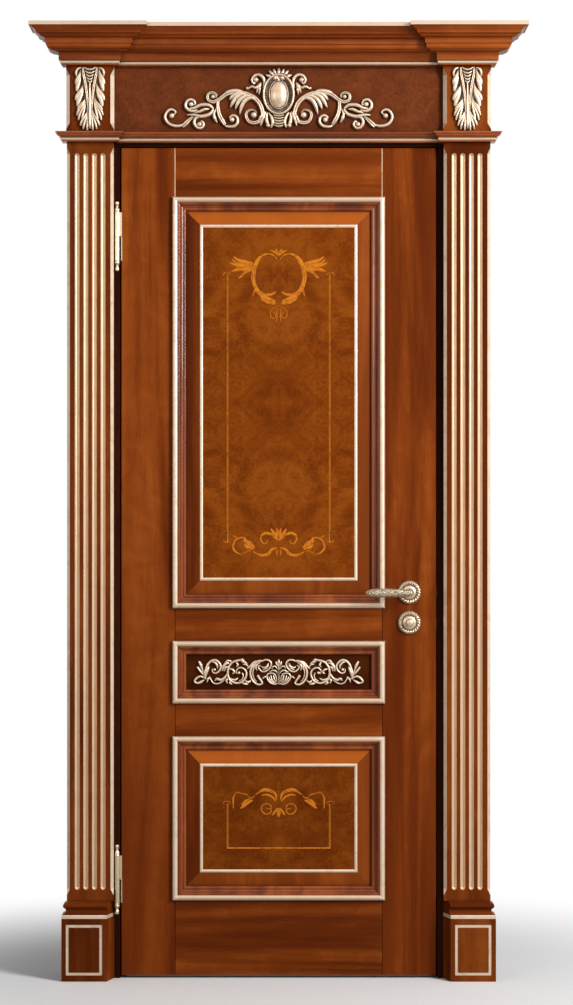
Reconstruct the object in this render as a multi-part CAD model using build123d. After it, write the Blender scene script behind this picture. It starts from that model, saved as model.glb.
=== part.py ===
from build123d import *
import os
from math import cos, pi, radians, sin, sqrt

# Panelled hardwood door in its frame, with fluted pilasters and a broken crown cornice.
#
# Millimetres. X runs to the right and Y away from someone who faces the front, Z up.
# The pieces are drawn with Y = 0 on the leaf's front face, X = 0 on the middle of the
# opening and Z = 0 on the floor. They are saved with the whole depth centred on Y = 0.

# Leaf
leaf_width = 800
leaf_height = 2100
leaf_thickness = 42
floor_gap = 8
edge_gap = 3
edge_bevel = 1.5
stile_width = 137
top_rail_height = 131
lock_rail_height = 97
bottom_rail_height = 197
lower_opening_height = 402.5
middle_opening_height = 145
tenon_length = 45
tenon_thickness = 14
tenon_shoulder = 15
tenon_clearance = 0.2

# Panels and their mouldings
panel_gap = 2
margin_depth = 10
field_recess = 2
fielding_width = 35
field_bead_width = 7.5
field_bead_rise = 1.5
moulding_width = 35
moulding_lap = 7
moulding_rise = 12
inlay_thickness = 0.6
line_inset = 72
line_width = 3.5
upper_line_top = 125
upper_line_bottom = 97.5
lower_line_top = 102
lower_line_bottom = 64

# Jambs, stops and seals
jamb_face = 40
jamb_depth = 105
jamb_setback = 2
stop_width = 30
stop_rise = 15
stop_gap = 3
seal_width = 7
seal_inset = 2
seal_play = 0.3
fixing_hole_radius = 4.25
fixing_hole_count = 4
fixing_hole_pitch = 530
fixing_hole_inset = 16

# Pilasters, plinths and capitals
pilaster_reveal = 18
pilaster_width = 118
pilaster_rise = 24
flute_count = 4
flute_pitch = 21.8
flute_radius = 6.2
flute_end = 28
pilaster_chamfer = 7.5
chamfer_tongue = 16
plinth_height = 200
plinth_rise = 46
plinth_overhang = 12
plinth_splay = 16
plinth_moulding_height = 42
plinth_line_width = 7.5
plinth_line_depth = 1.5
plinth_line_inset = 11
capital_overhang = 1.5
capital_rise = 28
capital_chamfer = 9
frieze_rise = 8

# Astragal and crown, heights and reaches
entablature_height = 290
astragal_lift = 9
astragal_height = 24
astragal_reach = 25
crown_height = 97
crown_reach = 87

# Casings on the hidden side
casing_width = 70
casing_thickness = 14
casing_reveal = 10
casing_round = 4

# Hinges
hinge_radius = 7.25
hinge_pin_radius = 4
hinge_play = 0.05
barrel_height = 121
knuckle_gap = 0.4
hinge_axis_offset = 10
hinge_axis_rise = 9
wing_thickness = 2.5
wing_depth = 30
wing_corner = 3
lower_hinge_height = 252
upper_hinge_drop = 225
finial_height = 28
screw_head_radius = 3.6
screw_radius = 1.9
screw_length = 22
screw_inset = 20

# Lock and handles
backset = 68
lever_height = 980
turn_drop = 77
case_depth = 87
case_thickness = 14
case_margin = 55
case_play = 0.5
faceplate_width = 22
faceplate_thickness = 3
faceplate_margin = 25
latch_thickness = 12
latch_height = 18
latch_length = 44
latch_throw = 10
deadbolt_thickness = 12
deadbolt_height = 32
deadbolt_length = 42
deadbolt_throw = 20
bolt_play = 0.4
strike_play = 1
pocket_room = 6
spindle_side = 8
spindle_play = 0.1
follower_radius = 11
follower_play = 0.08
rosette_radius = 30
rosette_thickness = 9
rosette_groove = 0.9
neck_radius = 8
neck_play = 0.08
neck_reach = 42
lever_length = 114
lever_radius = 8.5
lever_swell = 11.5
turn_knob_radius = 10
turn_knob_reach = 16
tail_side = 5

# Carved ornament
acanthus_width = 77
acanthus_thickness = 13
cartouche_thickness = 10
medallion_thickness = 16
cartouche_width = 576
medallion_width = 83
medallion_lift = 14
scroll_width = 428
scroll_thickness = 7
heart_width = 254
garland_width = 232
heart_drop = 130
upper_garland_lift = 94
lower_garland_drop = 99

# Places that follow from the sizes above
half_leaf = leaf_width / 2
leaf_top = floor_gap + leaf_height
half_opening = half_leaf + edge_gap
head_height = leaf_top + edge_gap
half_panel_opening = half_leaf - stile_width
lower_opening = floor_gap + bottom_rail_height
lower_rail_bottom = lower_opening + lower_opening_height
middle_opening = lower_rail_bottom + lock_rail_height
upper_rail_bottom = middle_opening + middle_opening_height
upper_opening = upper_rail_bottom + lock_rail_height
top_rail_bottom = leaf_top - top_rail_height
wall_back = jamb_setback + jamb_depth
pilaster_inner = half_leaf + pilaster_reveal
pilaster_outer = pilaster_inner + pilaster_width
pilaster_axis = (pilaster_inner + pilaster_outer) / 2
pilaster_top = head_height + astragal_lift
astragal_top = pilaster_top + astragal_height
entablature_top = pilaster_top + entablature_height
crown_bottom = entablature_top - crown_height
capital_inner = pilaster_inner - capital_overhang
capital_outer = pilaster_outer + capital_overhang
hinge_x = -half_leaf - hinge_axis_offset
upper_hinge_height = leaf_top - upper_hinge_drop
turn_height = lever_height - turn_drop
handle_x = half_leaf - backset
stop_face = leaf_thickness + stop_gap
case_top = lever_height + case_margin
case_bottom = turn_height - case_margin
case_middle = leaf_thickness / 2
front_reach = capital_rise + crown_reach
back_reach = wall_back + casing_thickness
depth_shift = (front_reach - back_reach) / 2


def block(x0, x1, y0, y1, z0, z1):
    """A plain squared piece between three pairs of coordinates."""
    middle = Pos((x0 + x1) / 2, (y0 + y1) / 2, (z0 + z1) / 2)
    return middle * Box(abs(x1 - x0), abs(y1 - y0), abs(z1 - z0))


def mirrored(part):
    """The same piece on the other side of the opening."""
    return mirror(part, Plane.YZ)


def turned_over(part):
    """The same piece on the leaf's other face."""
    return Pos(0, leaf_thickness, 0) * mirror(part, Plane.XZ)


def save(name, *parts):
    """Write one node, as separate solids where it has more than one piece."""
    solids = [solid for part in parts for solid in part.solids()]
    placed = [Pos(0, depth_shift, 0) * solid for solid in solids]
    shape = placed[0] if len(placed) == 1 else Compound(children=placed)
    export_step(shape, f"parts/{name}.step")


def upright_plane(x, y, z, outward):
    """A vertical plane whose first axis points outward in plan and whose second one is up."""
    side = Vector(*outward, 0).normalized()
    return Plane(origin=(x, y, z), x_dir=side, z_dir=(side.Y, -side.X, 0))


def front_prism(sketch, face_y, thickness):
    """A flat outline drawn as seen from the front, standing out of the plane Y = face_y."""
    flat = extrude(Plane.XZ * sketch, thickness)
    return Pos(0, face_y, 0) * flat


# Moulding profiles
#
# A profile's first coordinate grows towards the viewer or away from the wall,
# and its second one grows upwards, or inwards from a panel moulding's outer edge.


def bolection_profile():
    """Panel moulding: gilded torus and step outside, ogee, and a gilded bead inside."""
    lap = moulding_lap
    rise = moulding_rise
    inner = moulding_width
    seat = -margin_depth
    outer_edge = Line((0, 0), (rise / 3, 0))
    torus = ThreePointArc((rise / 3, 0), (rise, lap), (rise * 0.72, lap * 1.9))
    step = Polyline(
        (rise * 0.72, lap * 1.9), (rise * 0.5, lap * 1.9), (rise * 0.5, lap * 2.4)
    )
    ogee = Spline(
        (rise * 0.5, lap * 2.4),
        (rise * 0.1, lap * 3),
        (seat * 0.3, lap * 3.8),
        tangents=((-0.3, 1), (-0.3, 1)),
    )
    bead = ThreePointArc(
        (seat * 0.3, lap * 3.8), (seat * 0.2, lap * 4.4), (seat * 0.6, inner)
    )
    seat_line = Polyline(
        (seat * 0.6, inner), (seat, inner), (seat, lap), (0, lap), (0, 0)
    )
    return make_face([outer_edge, torus, *step.edges(), ogee, bead, *seat_line.edges()])


def field_bead_profile():
    """Half-round gilded bead let in round a panel's field."""
    width = field_bead_width
    rise = field_bead_rise
    arc = ThreePointArc((0, 0), (rise, width / 2), (0, width))
    base = Polyline((0, width), (-rise, width), (-rise, 0), (0, 0))
    return make_face([arc, *base.edges()])


def crown_profile():
    """Bed mould, fascia, soffit and cyma of the cornice, with a gilded bead and top fillet."""
    reach = crown_reach
    top = crown_height
    foot = Polyline((0, 0), (10.6, 0), (10.6, 3))
    bead = ThreePointArc((10.6, 3), (15, 7.5), (10.6, 12))
    fascia = Polyline((10.6, 12), (17.5, 12), (17.5, 27))
    cavetto = ThreePointArc((17.5, 27), (18.8, 30.2), (22, 31.5))
    soffit = Polyline((22, 31.5), (36, 34), (36, 36))
    ovolo = ThreePointArc((36, 36), (44.5, 40), (46, 47))
    corona = Polyline((46, 47), (46, 49), (49, 49), (49, 61.5))
    steps = Polyline((49, 61.5), (61, 65.5), (61, 68), (70, 71.5), (70, 74))
    cyma = Spline(
        (70, 74), (74.5, 80), (reach - 4, top - 9.5), tangents=((0.25, 1), (0.7, 1))
    )
    shelf = Polyline((reach - 4, top - 9.5), (reach, top - 9.5), (reach, top), (0, top), (0, 0))
    parts = [foot, bead, fascia, cavetto, soffit, ovolo, corona, steps, cyma, shelf]
    return make_face([edge for part in parts for edge in part.edges()])


def astragal_profile():
    """Neck moulding: gilded bead below, ovolo, and a flat shelf on top."""
    reach = astragal_reach
    top = astragal_height
    foot = Polyline((0, 0), (10.6, 0), (10.6, 3))
    bead = ThreePointArc((10.6, 3), (14, 6.5), (10.6, 10))
    step = Polyline((10.6, 10), (13, 10), (13, 12))
    ovolo = ThreePointArc((13, 12), (19.5, 14.5), (21.5, 20))
    shelf = Polyline((21.5, 20), (reach, 20), (reach, top), (0, top), (0, 0))
    parts = [foot, bead, step, ovolo, shelf]
    return make_face([edge for part in parts for edge in part.edges()])


def plinth_profile(depth):
    """Plinth moulding, from its back to the plinth's face: fillet, scotia, torus and slope."""
    top = plinth_moulding_height
    foot = Polyline((-depth, 0), (0, 0), (0, 3))
    gilt = ThreePointArc((0, 3), (-0.6, 8.5), (-3, 11))
    scotia = ThreePointArc((-3, 11), (-10.5, 18), (-7, 25.5))
    torus = ThreePointArc((-7, 25.5), (-3.5, 31.5), (-7, 37.5))
    slope = Polyline((-7, 37.5), (-9, 38), (-15, top), (-depth, top), (-depth, 0))
    parts = [foot, gilt, scotia, torus, slope]
    return make_face([edge for part in parts for edge in part.edges()])


def mitred_stick(profile, length, depth):
    """One length of panel moulding along X with its outer edge at Z = 0, mitred at both ends."""
    flat = Plane(origin=(0, 0, 0), x_dir=(0, -1, 0), z_dir=(1, 0, 0)) * profile
    bar = extrude(flat, length / 2, both=True)
    half = length / 2
    corners = [(-half, 0), (half, 0), (half - depth, depth), (depth - half, depth)]
    trapezium = Polygon(*[(x, -z) for x, z in corners], align=None)
    wedge = extrude(Plane.XZ * trapezium, 2 * depth, both=True)
    return bar & wedge


def mitred_frame(profile, width, height, depth):
    """Four mitred lengths round a rectangle whose middle is the origin."""
    across = mitred_stick(profile, width, depth)
    upright = mitred_stick(profile, height, depth)
    return [
        Pos(0, 0, height / 2) * across,
        Pos(0, 0, -height / 2) * Rot(0, 180, 0) * across,
        Pos(width / 2, 0, 0) * Rot(0, 90, 0) * upright,
        Pos(-width / 2, 0, 0) * Rot(0, -90, 0) * upright,
    ]


def broken_run(profile, reach, bottom):
    """Mitred lengths of moulding round the breaks of the entablature, one solid a length."""
    wall = jamb_setback
    half_path = [
        Vector(capital_outer, wall),
        Vector(capital_outer, -capital_rise),
        Vector(capital_inner, -capital_rise),
        Vector(capital_inner, -frieze_rise),
    ]
    path = half_path + [Vector(-point.X, point.Y) for point in reversed(half_path)]
    normals = []
    for start, end in zip(path, path[1:]):
        along = (end - start).normalized()
        normals.append(Vector(-along.Y, along.X))
    mitres = [normals[0]]
    for before, after in zip(normals, normals[1:]):
        mitres.append(before + after)
    mitres.append(normals[-1])
    lengths = []
    for i, normal in enumerate(normals):
        start, end = path[i], path[i + 1]
        corners = [start, end, end + mitres[i + 1] * reach, start + mitres[i] * reach]
        quad = Polygon(*[(corner.X, corner.Y) for corner in corners], align=None)
        plan = Pos(0, 0, bottom) * extrude(quad, crown_height, dir=(0, 0, 1))
        section = upright_plane(start.X, start.Y, bottom, (normal.X, normal.Y))
        far = (end - start).length + reach
        bar = extrude(section * profile, far, both=True)
        lengths.append(bar & plan)
    return lengths


# Leaf


def rail(bottom, height):
    """A rail between the stiles, with a tenon into each and bevelled shoulders."""
    body = block(
        -half_panel_opening, half_panel_opening, 0, leaf_thickness, bottom, bottom + height
    )
    shoulders = body.faces().filter_by(Axis.X).edges().filter_by(Axis.Z)
    body = chamfer(shoulders, edge_bevel)
    reach = half_panel_opening + tenon_length
    return body + tenon(-reach, reach, bottom, height, 0)


def tenon(x0, x1, bottom, height, play):
    """The tenon of a rail, or with play the mortise that it fills."""
    middle = leaf_thickness / 2
    half = tenon_thickness / 2 + play
    return block(
        x0,
        x1,
        middle - half,
        middle + half,
        bottom + tenon_shoulder - play,
        bottom + height - tenon_shoulder + play,
    )


def rail_places():
    """Each rail's bottom edge and height, from the floor up."""
    return [
        (floor_gap, bottom_rail_height),
        (lower_rail_bottom, lock_rail_height),
        (upper_rail_bottom, lock_rail_height),
        (top_rail_bottom, top_rail_height),
    ]


def stile():
    """The lock side's stile, with bevelled edges and a mortise for each rail."""
    body = block(
        half_panel_opening, half_leaf, 0, leaf_thickness, floor_gap, leaf_top
    )
    body = chamfer(body.edges().filter_by(Axis.Z), edge_bevel)
    for bottom, height in rail_places():
        depth = half_panel_opening + tenon_length + tenon_clearance
        body -= tenon(half_panel_opening - 1, depth, bottom, height, tenon_clearance)
    return body


def hinge_stile():
    """Stile on the hinge side, with a recess for each door wing."""
    body = mirrored(stile())
    for height in (lower_hinge_height, upper_hinge_height):
        body -= door_wing(height)
    return body


def lock_stile():
    """Stile on the lock side, with the lock's mortise and the holes for spindle and turn."""
    body = stile()
    play = case_play
    half = case_thickness / 2 + play
    body -= block(
        half_leaf - case_depth - play,
        half_leaf,
        case_middle - half,
        case_middle + half,
        case_bottom - play,
        case_top + play,
    )
    plate_y = (case_middle - faceplate_width / 2, case_middle + faceplate_width / 2)
    body -= block(
        half_leaf - faceplate_thickness,
        half_leaf,
        *plate_y,
        case_bottom - faceplate_margin,
        case_top + faceplate_margin,
    )
    for height, radius in ((lever_height, spindle_side), (turn_height, tail_side + 1)):
        body -= through_hole(handle_x, height, radius)
    return body


def through_hole(x, z, radius):
    """A cylinder across the leaf, for holes and the round parts in them."""
    return Pos(x, leaf_thickness / 2, z) * Rot(90, 0, 0) * Cylinder(radius, leaf_thickness * 3)


def fielded_panel(bottom, height):
    """Raised-and-fielded panel: a flat field with sloping margins, the same on both faces."""
    width = 2 * (half_panel_opening - panel_gap)
    tall = height - 2 * panel_gap
    edge = leaf_thickness - 2 * margin_depth
    core = Box(width, edge, tall)
    flat = moulding_width - moulding_lap - panel_gap
    rise = margin_depth - field_recess
    foot = Rectangle(width - 2 * flat, tall - 2 * flat)
    field_width = width - 2 * (flat + fielding_width)
    field = Rectangle(field_width, tall - 2 * (flat + fielding_width))
    lower = Plane.XZ.offset(edge / 2) * foot
    upper = Plane.XZ.offset(edge / 2 + rise) * field
    raised = loft([lower.face(), upper.face()])
    panel = core + raised + mirror(raised, Plane.XZ)
    return Pos(0, leaf_thickness / 2, bottom + height / 2) * panel


def field_size(height):
    """Width and height of a panel's field."""
    border = moulding_width - moulding_lap + fielding_width
    return 2 * (half_panel_opening - border), height - 2 * border


def field_heights(bottom, height):
    """Lower and upper edge of a panel's field, from its opening."""
    border = moulding_width - moulding_lap + fielding_width
    return bottom + border, bottom + height - border


def field_bead(bottom, height):
    """Gilded bead round a field, its back let into the field's edge."""
    width, tall = field_size(height)
    sticks = mitred_frame(field_bead_profile(), width, tall, field_bead_width)
    return [Pos(0, field_recess, bottom + height / 2) * stick for stick in sticks]


def middle_panel():
    """Flat panel behind the carved scroll."""
    width = half_panel_opening - panel_gap
    y0 = margin_depth
    return block(
        -width,
        width,
        y0,
        leaf_thickness - y0,
        middle_opening + panel_gap,
        upper_rail_bottom - panel_gap,
    )


def panel_moulding(bottom, height):
    """Bolection moulding round one opening, on the front."""
    width = 2 * (half_panel_opening + moulding_lap)
    tall = height + 2 * moulding_lap
    sticks = mitred_frame(bolection_profile(), width, tall, moulding_width)
    return [Pos(0, 0, bottom + height / 2) * stick for stick in sticks]


def opening_places():
    """Each panel opening's bottom edge and height."""
    return {
        "lower": (lower_opening, lower_opening_height),
        "middle": (middle_opening, middle_opening_height),
        "upper": (upper_opening, top_rail_bottom - upper_opening),
    }


# Inlays and carved ornament, drawn as outlines seen from the front


def band(points, *widths):
    """A tapering band along a smooth line through a few points, its widths spread evenly."""
    line = Spline(*points)
    count = 3 * len(points)
    left, right = [], []
    for step in range(count + 1):
        share = step / count
        place = share * (len(widths) - 1)
        low = min(int(place), len(widths) - 2)
        half = (widths[low] + (widths[low + 1] - widths[low]) * (place - low)) / 2
        along = line % share
        side = Vector(-along.Y, along.X) * half
        left.append((line @ share) + side)
        right.append((line @ share) - side)
    ends = [Line(left[-1], right[-1]), Line(right[0], left[0])]
    return Sketch() + make_face([Spline(*left), ends[0], Spline(*reversed(right)), ends[1]])


def scroll(stem, centre, radius, start, turn, width):
    """A stem that winds into a volute, which ends in a round eye."""
    steps = round(abs(turn) / 60)
    points = list(stem)
    for step in range(steps + 1):
        share = step / steps
        r = radius * (1 - 0.62 * share)
        angle = radians(start + turn * share)
        points.append((centre[0] + r * cos(angle), centre[1] + r * sin(angle)))
    eye = Pos(*points[-1]) * Circle(width * 0.42)
    return band(points, width * 0.5, width, width * 0.8, width * 0.5) + eye


def leaflet(x, z, length, width, angle):
    """One pointed-oval lobe from its foot at a point, turned by an angle from upright."""
    half = length / 2
    return Pos(x, z) * Rot(0, 0, angle) * Pos(0, half) * Ellipse(width / 2, half)


def both_halves(outline, width):
    """An outline with its mirror image about the vertical axis, scaled to an overall width."""
    whole = outline + mirror(outline, Plane.YZ)
    return scale(whole, by=width / whole.bounding_box().size.X)


def acanthus_outline():
    """Hanging acanthus leaf: a full body with curled shoulders, paired lobes and a rounded tip."""
    half = Pos(0, 3) * Ellipse(24, 76)
    half += Pos(26, 71) * Circle(11)
    rows = [(58, 35, 26, 100), (34, 38, 25, 118), (10, 38, 24, 128), (-12, 37, 22, 138), (-32, 34, 20, 148)]
    for foot, length, width, angle in rows:
        half += leaflet(4, foot, length, width, -angle)
    half += leaflet(4, -52, 30, 18, -165)
    return both_halves(half, acanthus_width)


def acanthus():
    """Carved leaf of a capital, in three heights: the leaf, a folded inner leaf and the midrib."""
    centre_z = astragal_top + (crown_bottom - astragal_top) / 2
    place = Pos(pilaster_axis, centre_z)
    wide = acanthus_width
    leaf = front_prism(place * acanthus_outline(), -capital_rise, acanthus_thickness * 0.55)
    inner = place * Pos(0, wide * 0.1) * Ellipse(wide * 0.2, wide * 0.78)
    folded = front_prism(inner, -capital_rise, acanthus_thickness * 0.8)
    rib = place * Pos(0, -wide * 0.1) * Ellipse(wide * 0.06, wide * 0.8)
    raised = front_prism(rib, -capital_rise, acanthus_thickness)
    return leaf + folded + raised


def cartouche_half():
    """Right half of the scrollwork, from the medallion's middle: running volutes and leaves."""
    half = scroll([(14, -76), (44, -84)], (67, -51), 30, -60, 420, 9)
    arch = [(60, -26), (92, -8), (126, 6), (164, -4), (196, -26)]
    half += scroll(arch, (205, -64), 17, 60, -420, 9)
    half += scroll([(150, 4), (184, 6), (216, 0), (240, -16)], (228, -28), 11, 10, -330, 8)
    half += scroll([(196, -26), (222, -52), (246, -66), (270, -66)], (268, -49), 15, -60, 420, 8)
    half += scroll([(84, -70), (100, -80)], (118, -67), 13, -90, 400, 7)
    half += scroll([(34, 22), (44, 24)], (58, 34), 12, -70, 400, 8)
    half += leaflet(100, -4, 46, 15, 35)
    half += leaflet(126, 6, 40, 14, -110)
    half += leaflet(60, 12, 30, 13, -80)
    half += leaflet(18, -60, 40, 16, -140)
    half += leaflet(16, -62, 30, 15, -172)
    half += leaflet(240, -60, 32, 12, -170)
    return half


def cartouche():
    """Scrollwork of the frieze round an oval medallion with a domed stone."""
    place = Pos(0, (astragal_top + crown_bottom) / 2 + medallion_lift)
    outline = place * both_halves(cartouche_half(), cartouche_width)
    scrolls = front_prism(outline, -frieze_rise, cartouche_thickness)
    wide = medallion_width
    oval = Ellipse(wide / 2, wide * 0.62)
    neck = Pos(0, -wide * 0.72) * Rectangle(wide * 0.29, wide * 0.55)
    crest = Pos(0, wide * 0.6) * Ellipse(wide * 0.29, wide * 0.17)
    medallion = front_prism(place * (oval + neck + crest), -frieze_rise, medallion_thickness)
    dish = place * Ellipse(wide * 0.38, wide * 0.5)
    hollow = front_prism(dish, -frieze_rise - cartouche_thickness, medallion_thickness)
    stone = place * Ellipse(wide * 0.28, wide * 0.42)
    cabochon = front_prism(stone, -frieze_rise, medallion_thickness * 1.2)
    cabochon = fillet(cabochon.edges().sort_by(Axis.Y)[0], medallion_thickness / 2)
    return scrolls + (medallion - hollow) + cabochon


def scroll_half():
    """Right half of the middle panel's carving: a palmette and three scroll waves."""
    half = leaflet(0, -18, 47, 13, -6)
    half += leaflet(0, -18, 39, 12, -36)
    half += leaflet(0, -20, 32, 12, -70)
    half += scroll([(4, -20), (24, -26), (48, -22), (62, -6)], (48, 4), 15, 10, 400, 8)
    half += scroll([(58, -14), (76, 10), (100, 24)], (112, 2), 20, 80, -400, 8)
    half += scroll([(92, -18), (124, -26), (150, -24), (166, -8)], (152, 4), 15, 10, 400, 8)
    half += leaflet(60, -12, 40, 12, -50)
    half += leaflet(76, 10, 30, 12, 40)
    half += leaflet(160, -14, 56, 13, -70)
    half += leaflet(164, -8, 38, 12, -40)
    half += leaflet(120, -22, 34, 12, -100)
    return half


def middle_scroll():
    """Carved scroll planted on the middle panel."""
    place = Pos(0, middle_opening + middle_opening_height / 2)
    outline = place * both_halves(scroll_half(), scroll_width)
    return front_prism(outline, margin_depth, scroll_thickness)


def heart():
    """Top ornament of the upper panel: a heart of two scrolls, leaf wings and a pendant."""
    half = band([(0, -58), (34, -50), (62, -22), (66, 14), (44, 40), (14, 30)], 8, 14, 14, 8)
    half += leaflet(64, 6, 60, 22, -70)
    half += leaflet(66, 14, 48, 16, -105)
    half += leaflet(0, -96, 46, 22, 8)
    half += leaflet(8, 32, 26, 15, -10)
    return both_halves(half, heart_width)


def garland():
    """Lower ornament of a panel: a palmette between two running scrolls."""
    half = leaflet(0, -22, 44, 16, -6)
    half += leaflet(4, -20, 36, 13, -48)
    half += scroll([(4, -16), (32, -22), (63, -8)], (54, 4), 11, 0, 330, 7)
    half += leaflet(61, -8, 42, 13, -72)
    half += leaflet(59, -10, 34, 11, -110)
    return both_halves(half, garland_width)


def upper_ornaments():
    """The upper panel's two inlaid ornaments."""
    low, high = field_heights(*opening_places()["upper"])
    top = Pos(0, high - heart_drop) * heart()
    foot = Pos(0, low + upper_garland_lift) * garland()
    return [inlay(top), inlay(foot)]


def lower_ornament():
    """The lower panel's inlaid ornament."""
    low, high = field_heights(*opening_places()["lower"])
    return [inlay(Pos(0, high - lower_garland_drop) * garland())]


def inlay(outline):
    """Veneer let in flush with a panel's field."""
    return front_prism(outline, field_recess + inlay_thickness, inlay_thickness)


def inlay_strip(x0, x1, z0, z1):
    """A straight strip of inlay."""
    return block(x0, x1, field_recess, field_recess + inlay_thickness, z0, z1)


def line_edge():
    """Distance of the inlaid lines' outer edges from the middle."""
    width, tall = field_size(lower_opening_height)
    return width / 2 - line_inset + line_width


def upper_lines():
    """The two upright inlaid lines of the upper panel."""
    low, high = field_heights(*opening_places()["upper"])
    outer = line_edge()
    strip = inlay_strip(outer - line_width, outer, low + upper_line_bottom, high - upper_line_top)
    return [strip, mirrored(strip)]


def lower_lines():
    """The U of inlaid lines in the lower panel."""
    low, high = field_heights(*opening_places()["lower"])
    outer = line_edge()
    bottom = low + lower_line_bottom
    strip = inlay_strip(outer - line_width, outer, bottom, high - lower_line_top)
    foot = inlay_strip(-outer, outer, bottom - line_width, bottom)
    return [strip, mirrored(strip), foot]


# Frame


def side_jamb():
    """Jamb of the lock side, with its wall-fixing holes."""
    jamb = block(
        half_opening, half_opening + jamb_face, jamb_setback, wall_back, 0, head_height
    )
    for index in range(fixing_hole_count):
        z = head_height / 2 + (index - (fixing_hole_count - 1) / 2) * fixing_hole_pitch
        hole = Pos(half_opening + jamb_face / 2, wall_back - fixing_hole_inset, z)
        jamb -= hole * Rot(0, 90, 0) * Cylinder(fixing_hole_radius, jamb_face * 2)
    return jamb


def left_jamb():
    """Jamb of the hinge side, with a recess for each frame wing."""
    jamb = mirrored(side_jamb())
    for height in (lower_hinge_height, upper_hinge_height):
        jamb -= frame_wing(height)
    return jamb


def right_jamb():
    """Jamb of the lock side, with the strike plate's recess and a pocket for each bolt."""
    jamb = side_jamb() - strike_blank()
    for pocket in bolt_pockets():
        jamb -= pocket
    return jamb


def head_jamb():
    """Head of the frame, on top of the side jambs."""
    reach = half_opening + jamb_face
    return block(-reach, reach, jamb_setback, wall_back, head_height, head_height + jamb_face)


def door_stops():
    """Planted stops on both jambs and under the head."""
    inner = half_opening - stop_rise
    side = block(
        inner, half_opening, stop_face, stop_face + stop_width, 0, head_height - stop_rise
    )
    head = block(
        -half_opening,
        half_opening,
        stop_face,
        stop_face + stop_width,
        head_height - stop_rise,
        head_height,
    )
    return [mirrored(side), side, head]


def seals():
    """Rubber strips on the front of the stops, just clear of the leaf."""
    inner = half_opening - stop_rise + seal_inset
    y0 = leaf_thickness + seal_play
    top = head_height - stop_rise + seal_inset
    side = block(inner, inner + seal_width, y0, stop_face, floor_gap, top)
    head = block(-inner - seal_width, inner + seal_width, y0, stop_face, top, top + seal_width)
    return [mirrored(side), side, head]


def stopped_chamfer(x, y, bottom, top, size, inward):
    """Cutter for a 45 degree chamfer on a front corner, run out at both ends in a tongue."""
    depth = size / sqrt(2)
    out = -2 * size
    tongue = chamfer_tongue
    outline = Polygon(
        (out, bottom),
        (0, bottom),
        (depth, bottom + tongue),
        (depth, top - tongue),
        (0, top),
        (out, top),
        align=None,
    )
    return extrude(upright_plane(x, y, 0, (inward, 1)) * outline, 3 * size, both=True)


def flute(x, bottom, top):
    """Cutter for one flute: a round groove with round stopped ends."""
    r = flute_radius
    end = top - r
    start = bottom + r
    turn_top = ThreePointArc((0, top), (r * sin(pi / 4), end + r * cos(pi / 4)), (r, end))
    turn_bottom = ThreePointArc((r, start), (r * sin(pi / 4), start - r * cos(pi / 4)), (0, bottom))
    edges = [Line((0, bottom), (0, top)), turn_top, Line((r, end), (r, start)), turn_bottom]
    return Pos(x, -pilaster_rise, 0) * revolve(Plane.XZ * make_face(edges), Axis.Z)


def pilaster():
    """Fluted pilaster of the lock side, from the plinth to the astragal."""
    body = block(
        pilaster_inner, pilaster_outer, -pilaster_rise, jamb_setback, plinth_height, pilaster_top
    )
    for index in range(flute_count):
        x = pilaster_axis + (index - (flute_count - 1) / 2) * flute_pitch
        body -= flute(x, plinth_height + flute_end, pilaster_top - flute_end)
    low = plinth_height + flute_end / 2
    high = pilaster_top - flute_end / 2
    for x, inward in ((pilaster_inner, 1), (pilaster_outer, -1)):
        body -= stopped_chamfer(x, -pilaster_rise, low, high, pilaster_chamfer, inward)
    return body


def plinth_plan():
    """Plinth seen from above, with its splayed cheek towards the opening."""
    outer = pilaster_outer + plinth_overhang
    return Polygon(
        (pilaster_inner, jamb_setback),
        (outer, jamb_setback),
        (outer, -plinth_rise),
        (pilaster_inner + plinth_splay, -plinth_rise),
        align=None,
    )


def plinth():
    """Plinth block with a sunk line round its face."""
    tall = plinth_height - plinth_moulding_height
    body = extrude(plinth_plan(), tall, dir=(0, 0, 1))
    left = pilaster_inner + plinth_splay + plinth_line_inset
    right = pilaster_outer + plinth_overhang - plinth_line_inset
    low = plinth_line_inset + 4
    high = tall - plinth_line_inset - 4
    sunk = (-plinth_rise, -plinth_rise + plinth_line_depth)
    line = plinth_line_width
    ring = block(left, right, *sunk, low, high)
    ring -= block(left + line, right - line, *sunk, low + line, high - line)
    return body - ring


def plinth_moulding():
    """Moulding on top of a plinth, mitred round its outer corner and cut flat on the cheek."""
    tall = plinth_height - plinth_moulding_height
    depth = plinth_rise + jamb_setback
    outer = pilaster_outer + plinth_overhang
    wide = outer - pilaster_inner
    facing = upright_plane(0, -plinth_rise, tall, (0, -1))
    front = extrude(facing * plinth_profile(depth), 2 * outer, both=True)
    sideways = upright_plane(outer, 0, tall, (1, 0))
    side = extrude(sideways * plinth_profile(wide), 2 * outer, both=True)
    plan = Pos(0, 0, tall) * extrude(plinth_plan(), plinth_moulding_height, dir=(0, 0, 1))
    return front & side & plan


def capital():
    """Capital block, with stopped chamfers between the astragal and the crown."""
    body = block(
        capital_inner, capital_outer, -capital_rise, jamb_setback, pilaster_top, entablature_top
    )
    low = astragal_top + 8
    high = crown_bottom - 8
    for x, inward in ((capital_inner, 1), (capital_outer, -1)):
        body -= stopped_chamfer(x, -capital_rise, low, high, capital_chamfer, inward)
    return body


def frieze():
    """Frieze board between the capitals, running up behind the crown."""
    return block(
        -capital_inner, capital_inner, -frieze_rise, jamb_setback, pilaster_top, entablature_top
    )


def casing_leg():
    """Flat casing of the lock side, on the hidden face of the wall."""
    inner = half_opening + casing_reveal
    leg = block(
        inner, inner + casing_width, wall_back, back_reach, 0, head_height + casing_reveal
    )
    outer_edge = leg.edges().filter_by(Axis.Z).sort_by(Axis.Y)[-2:]
    return fillet(outer_edge, casing_round)


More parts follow.
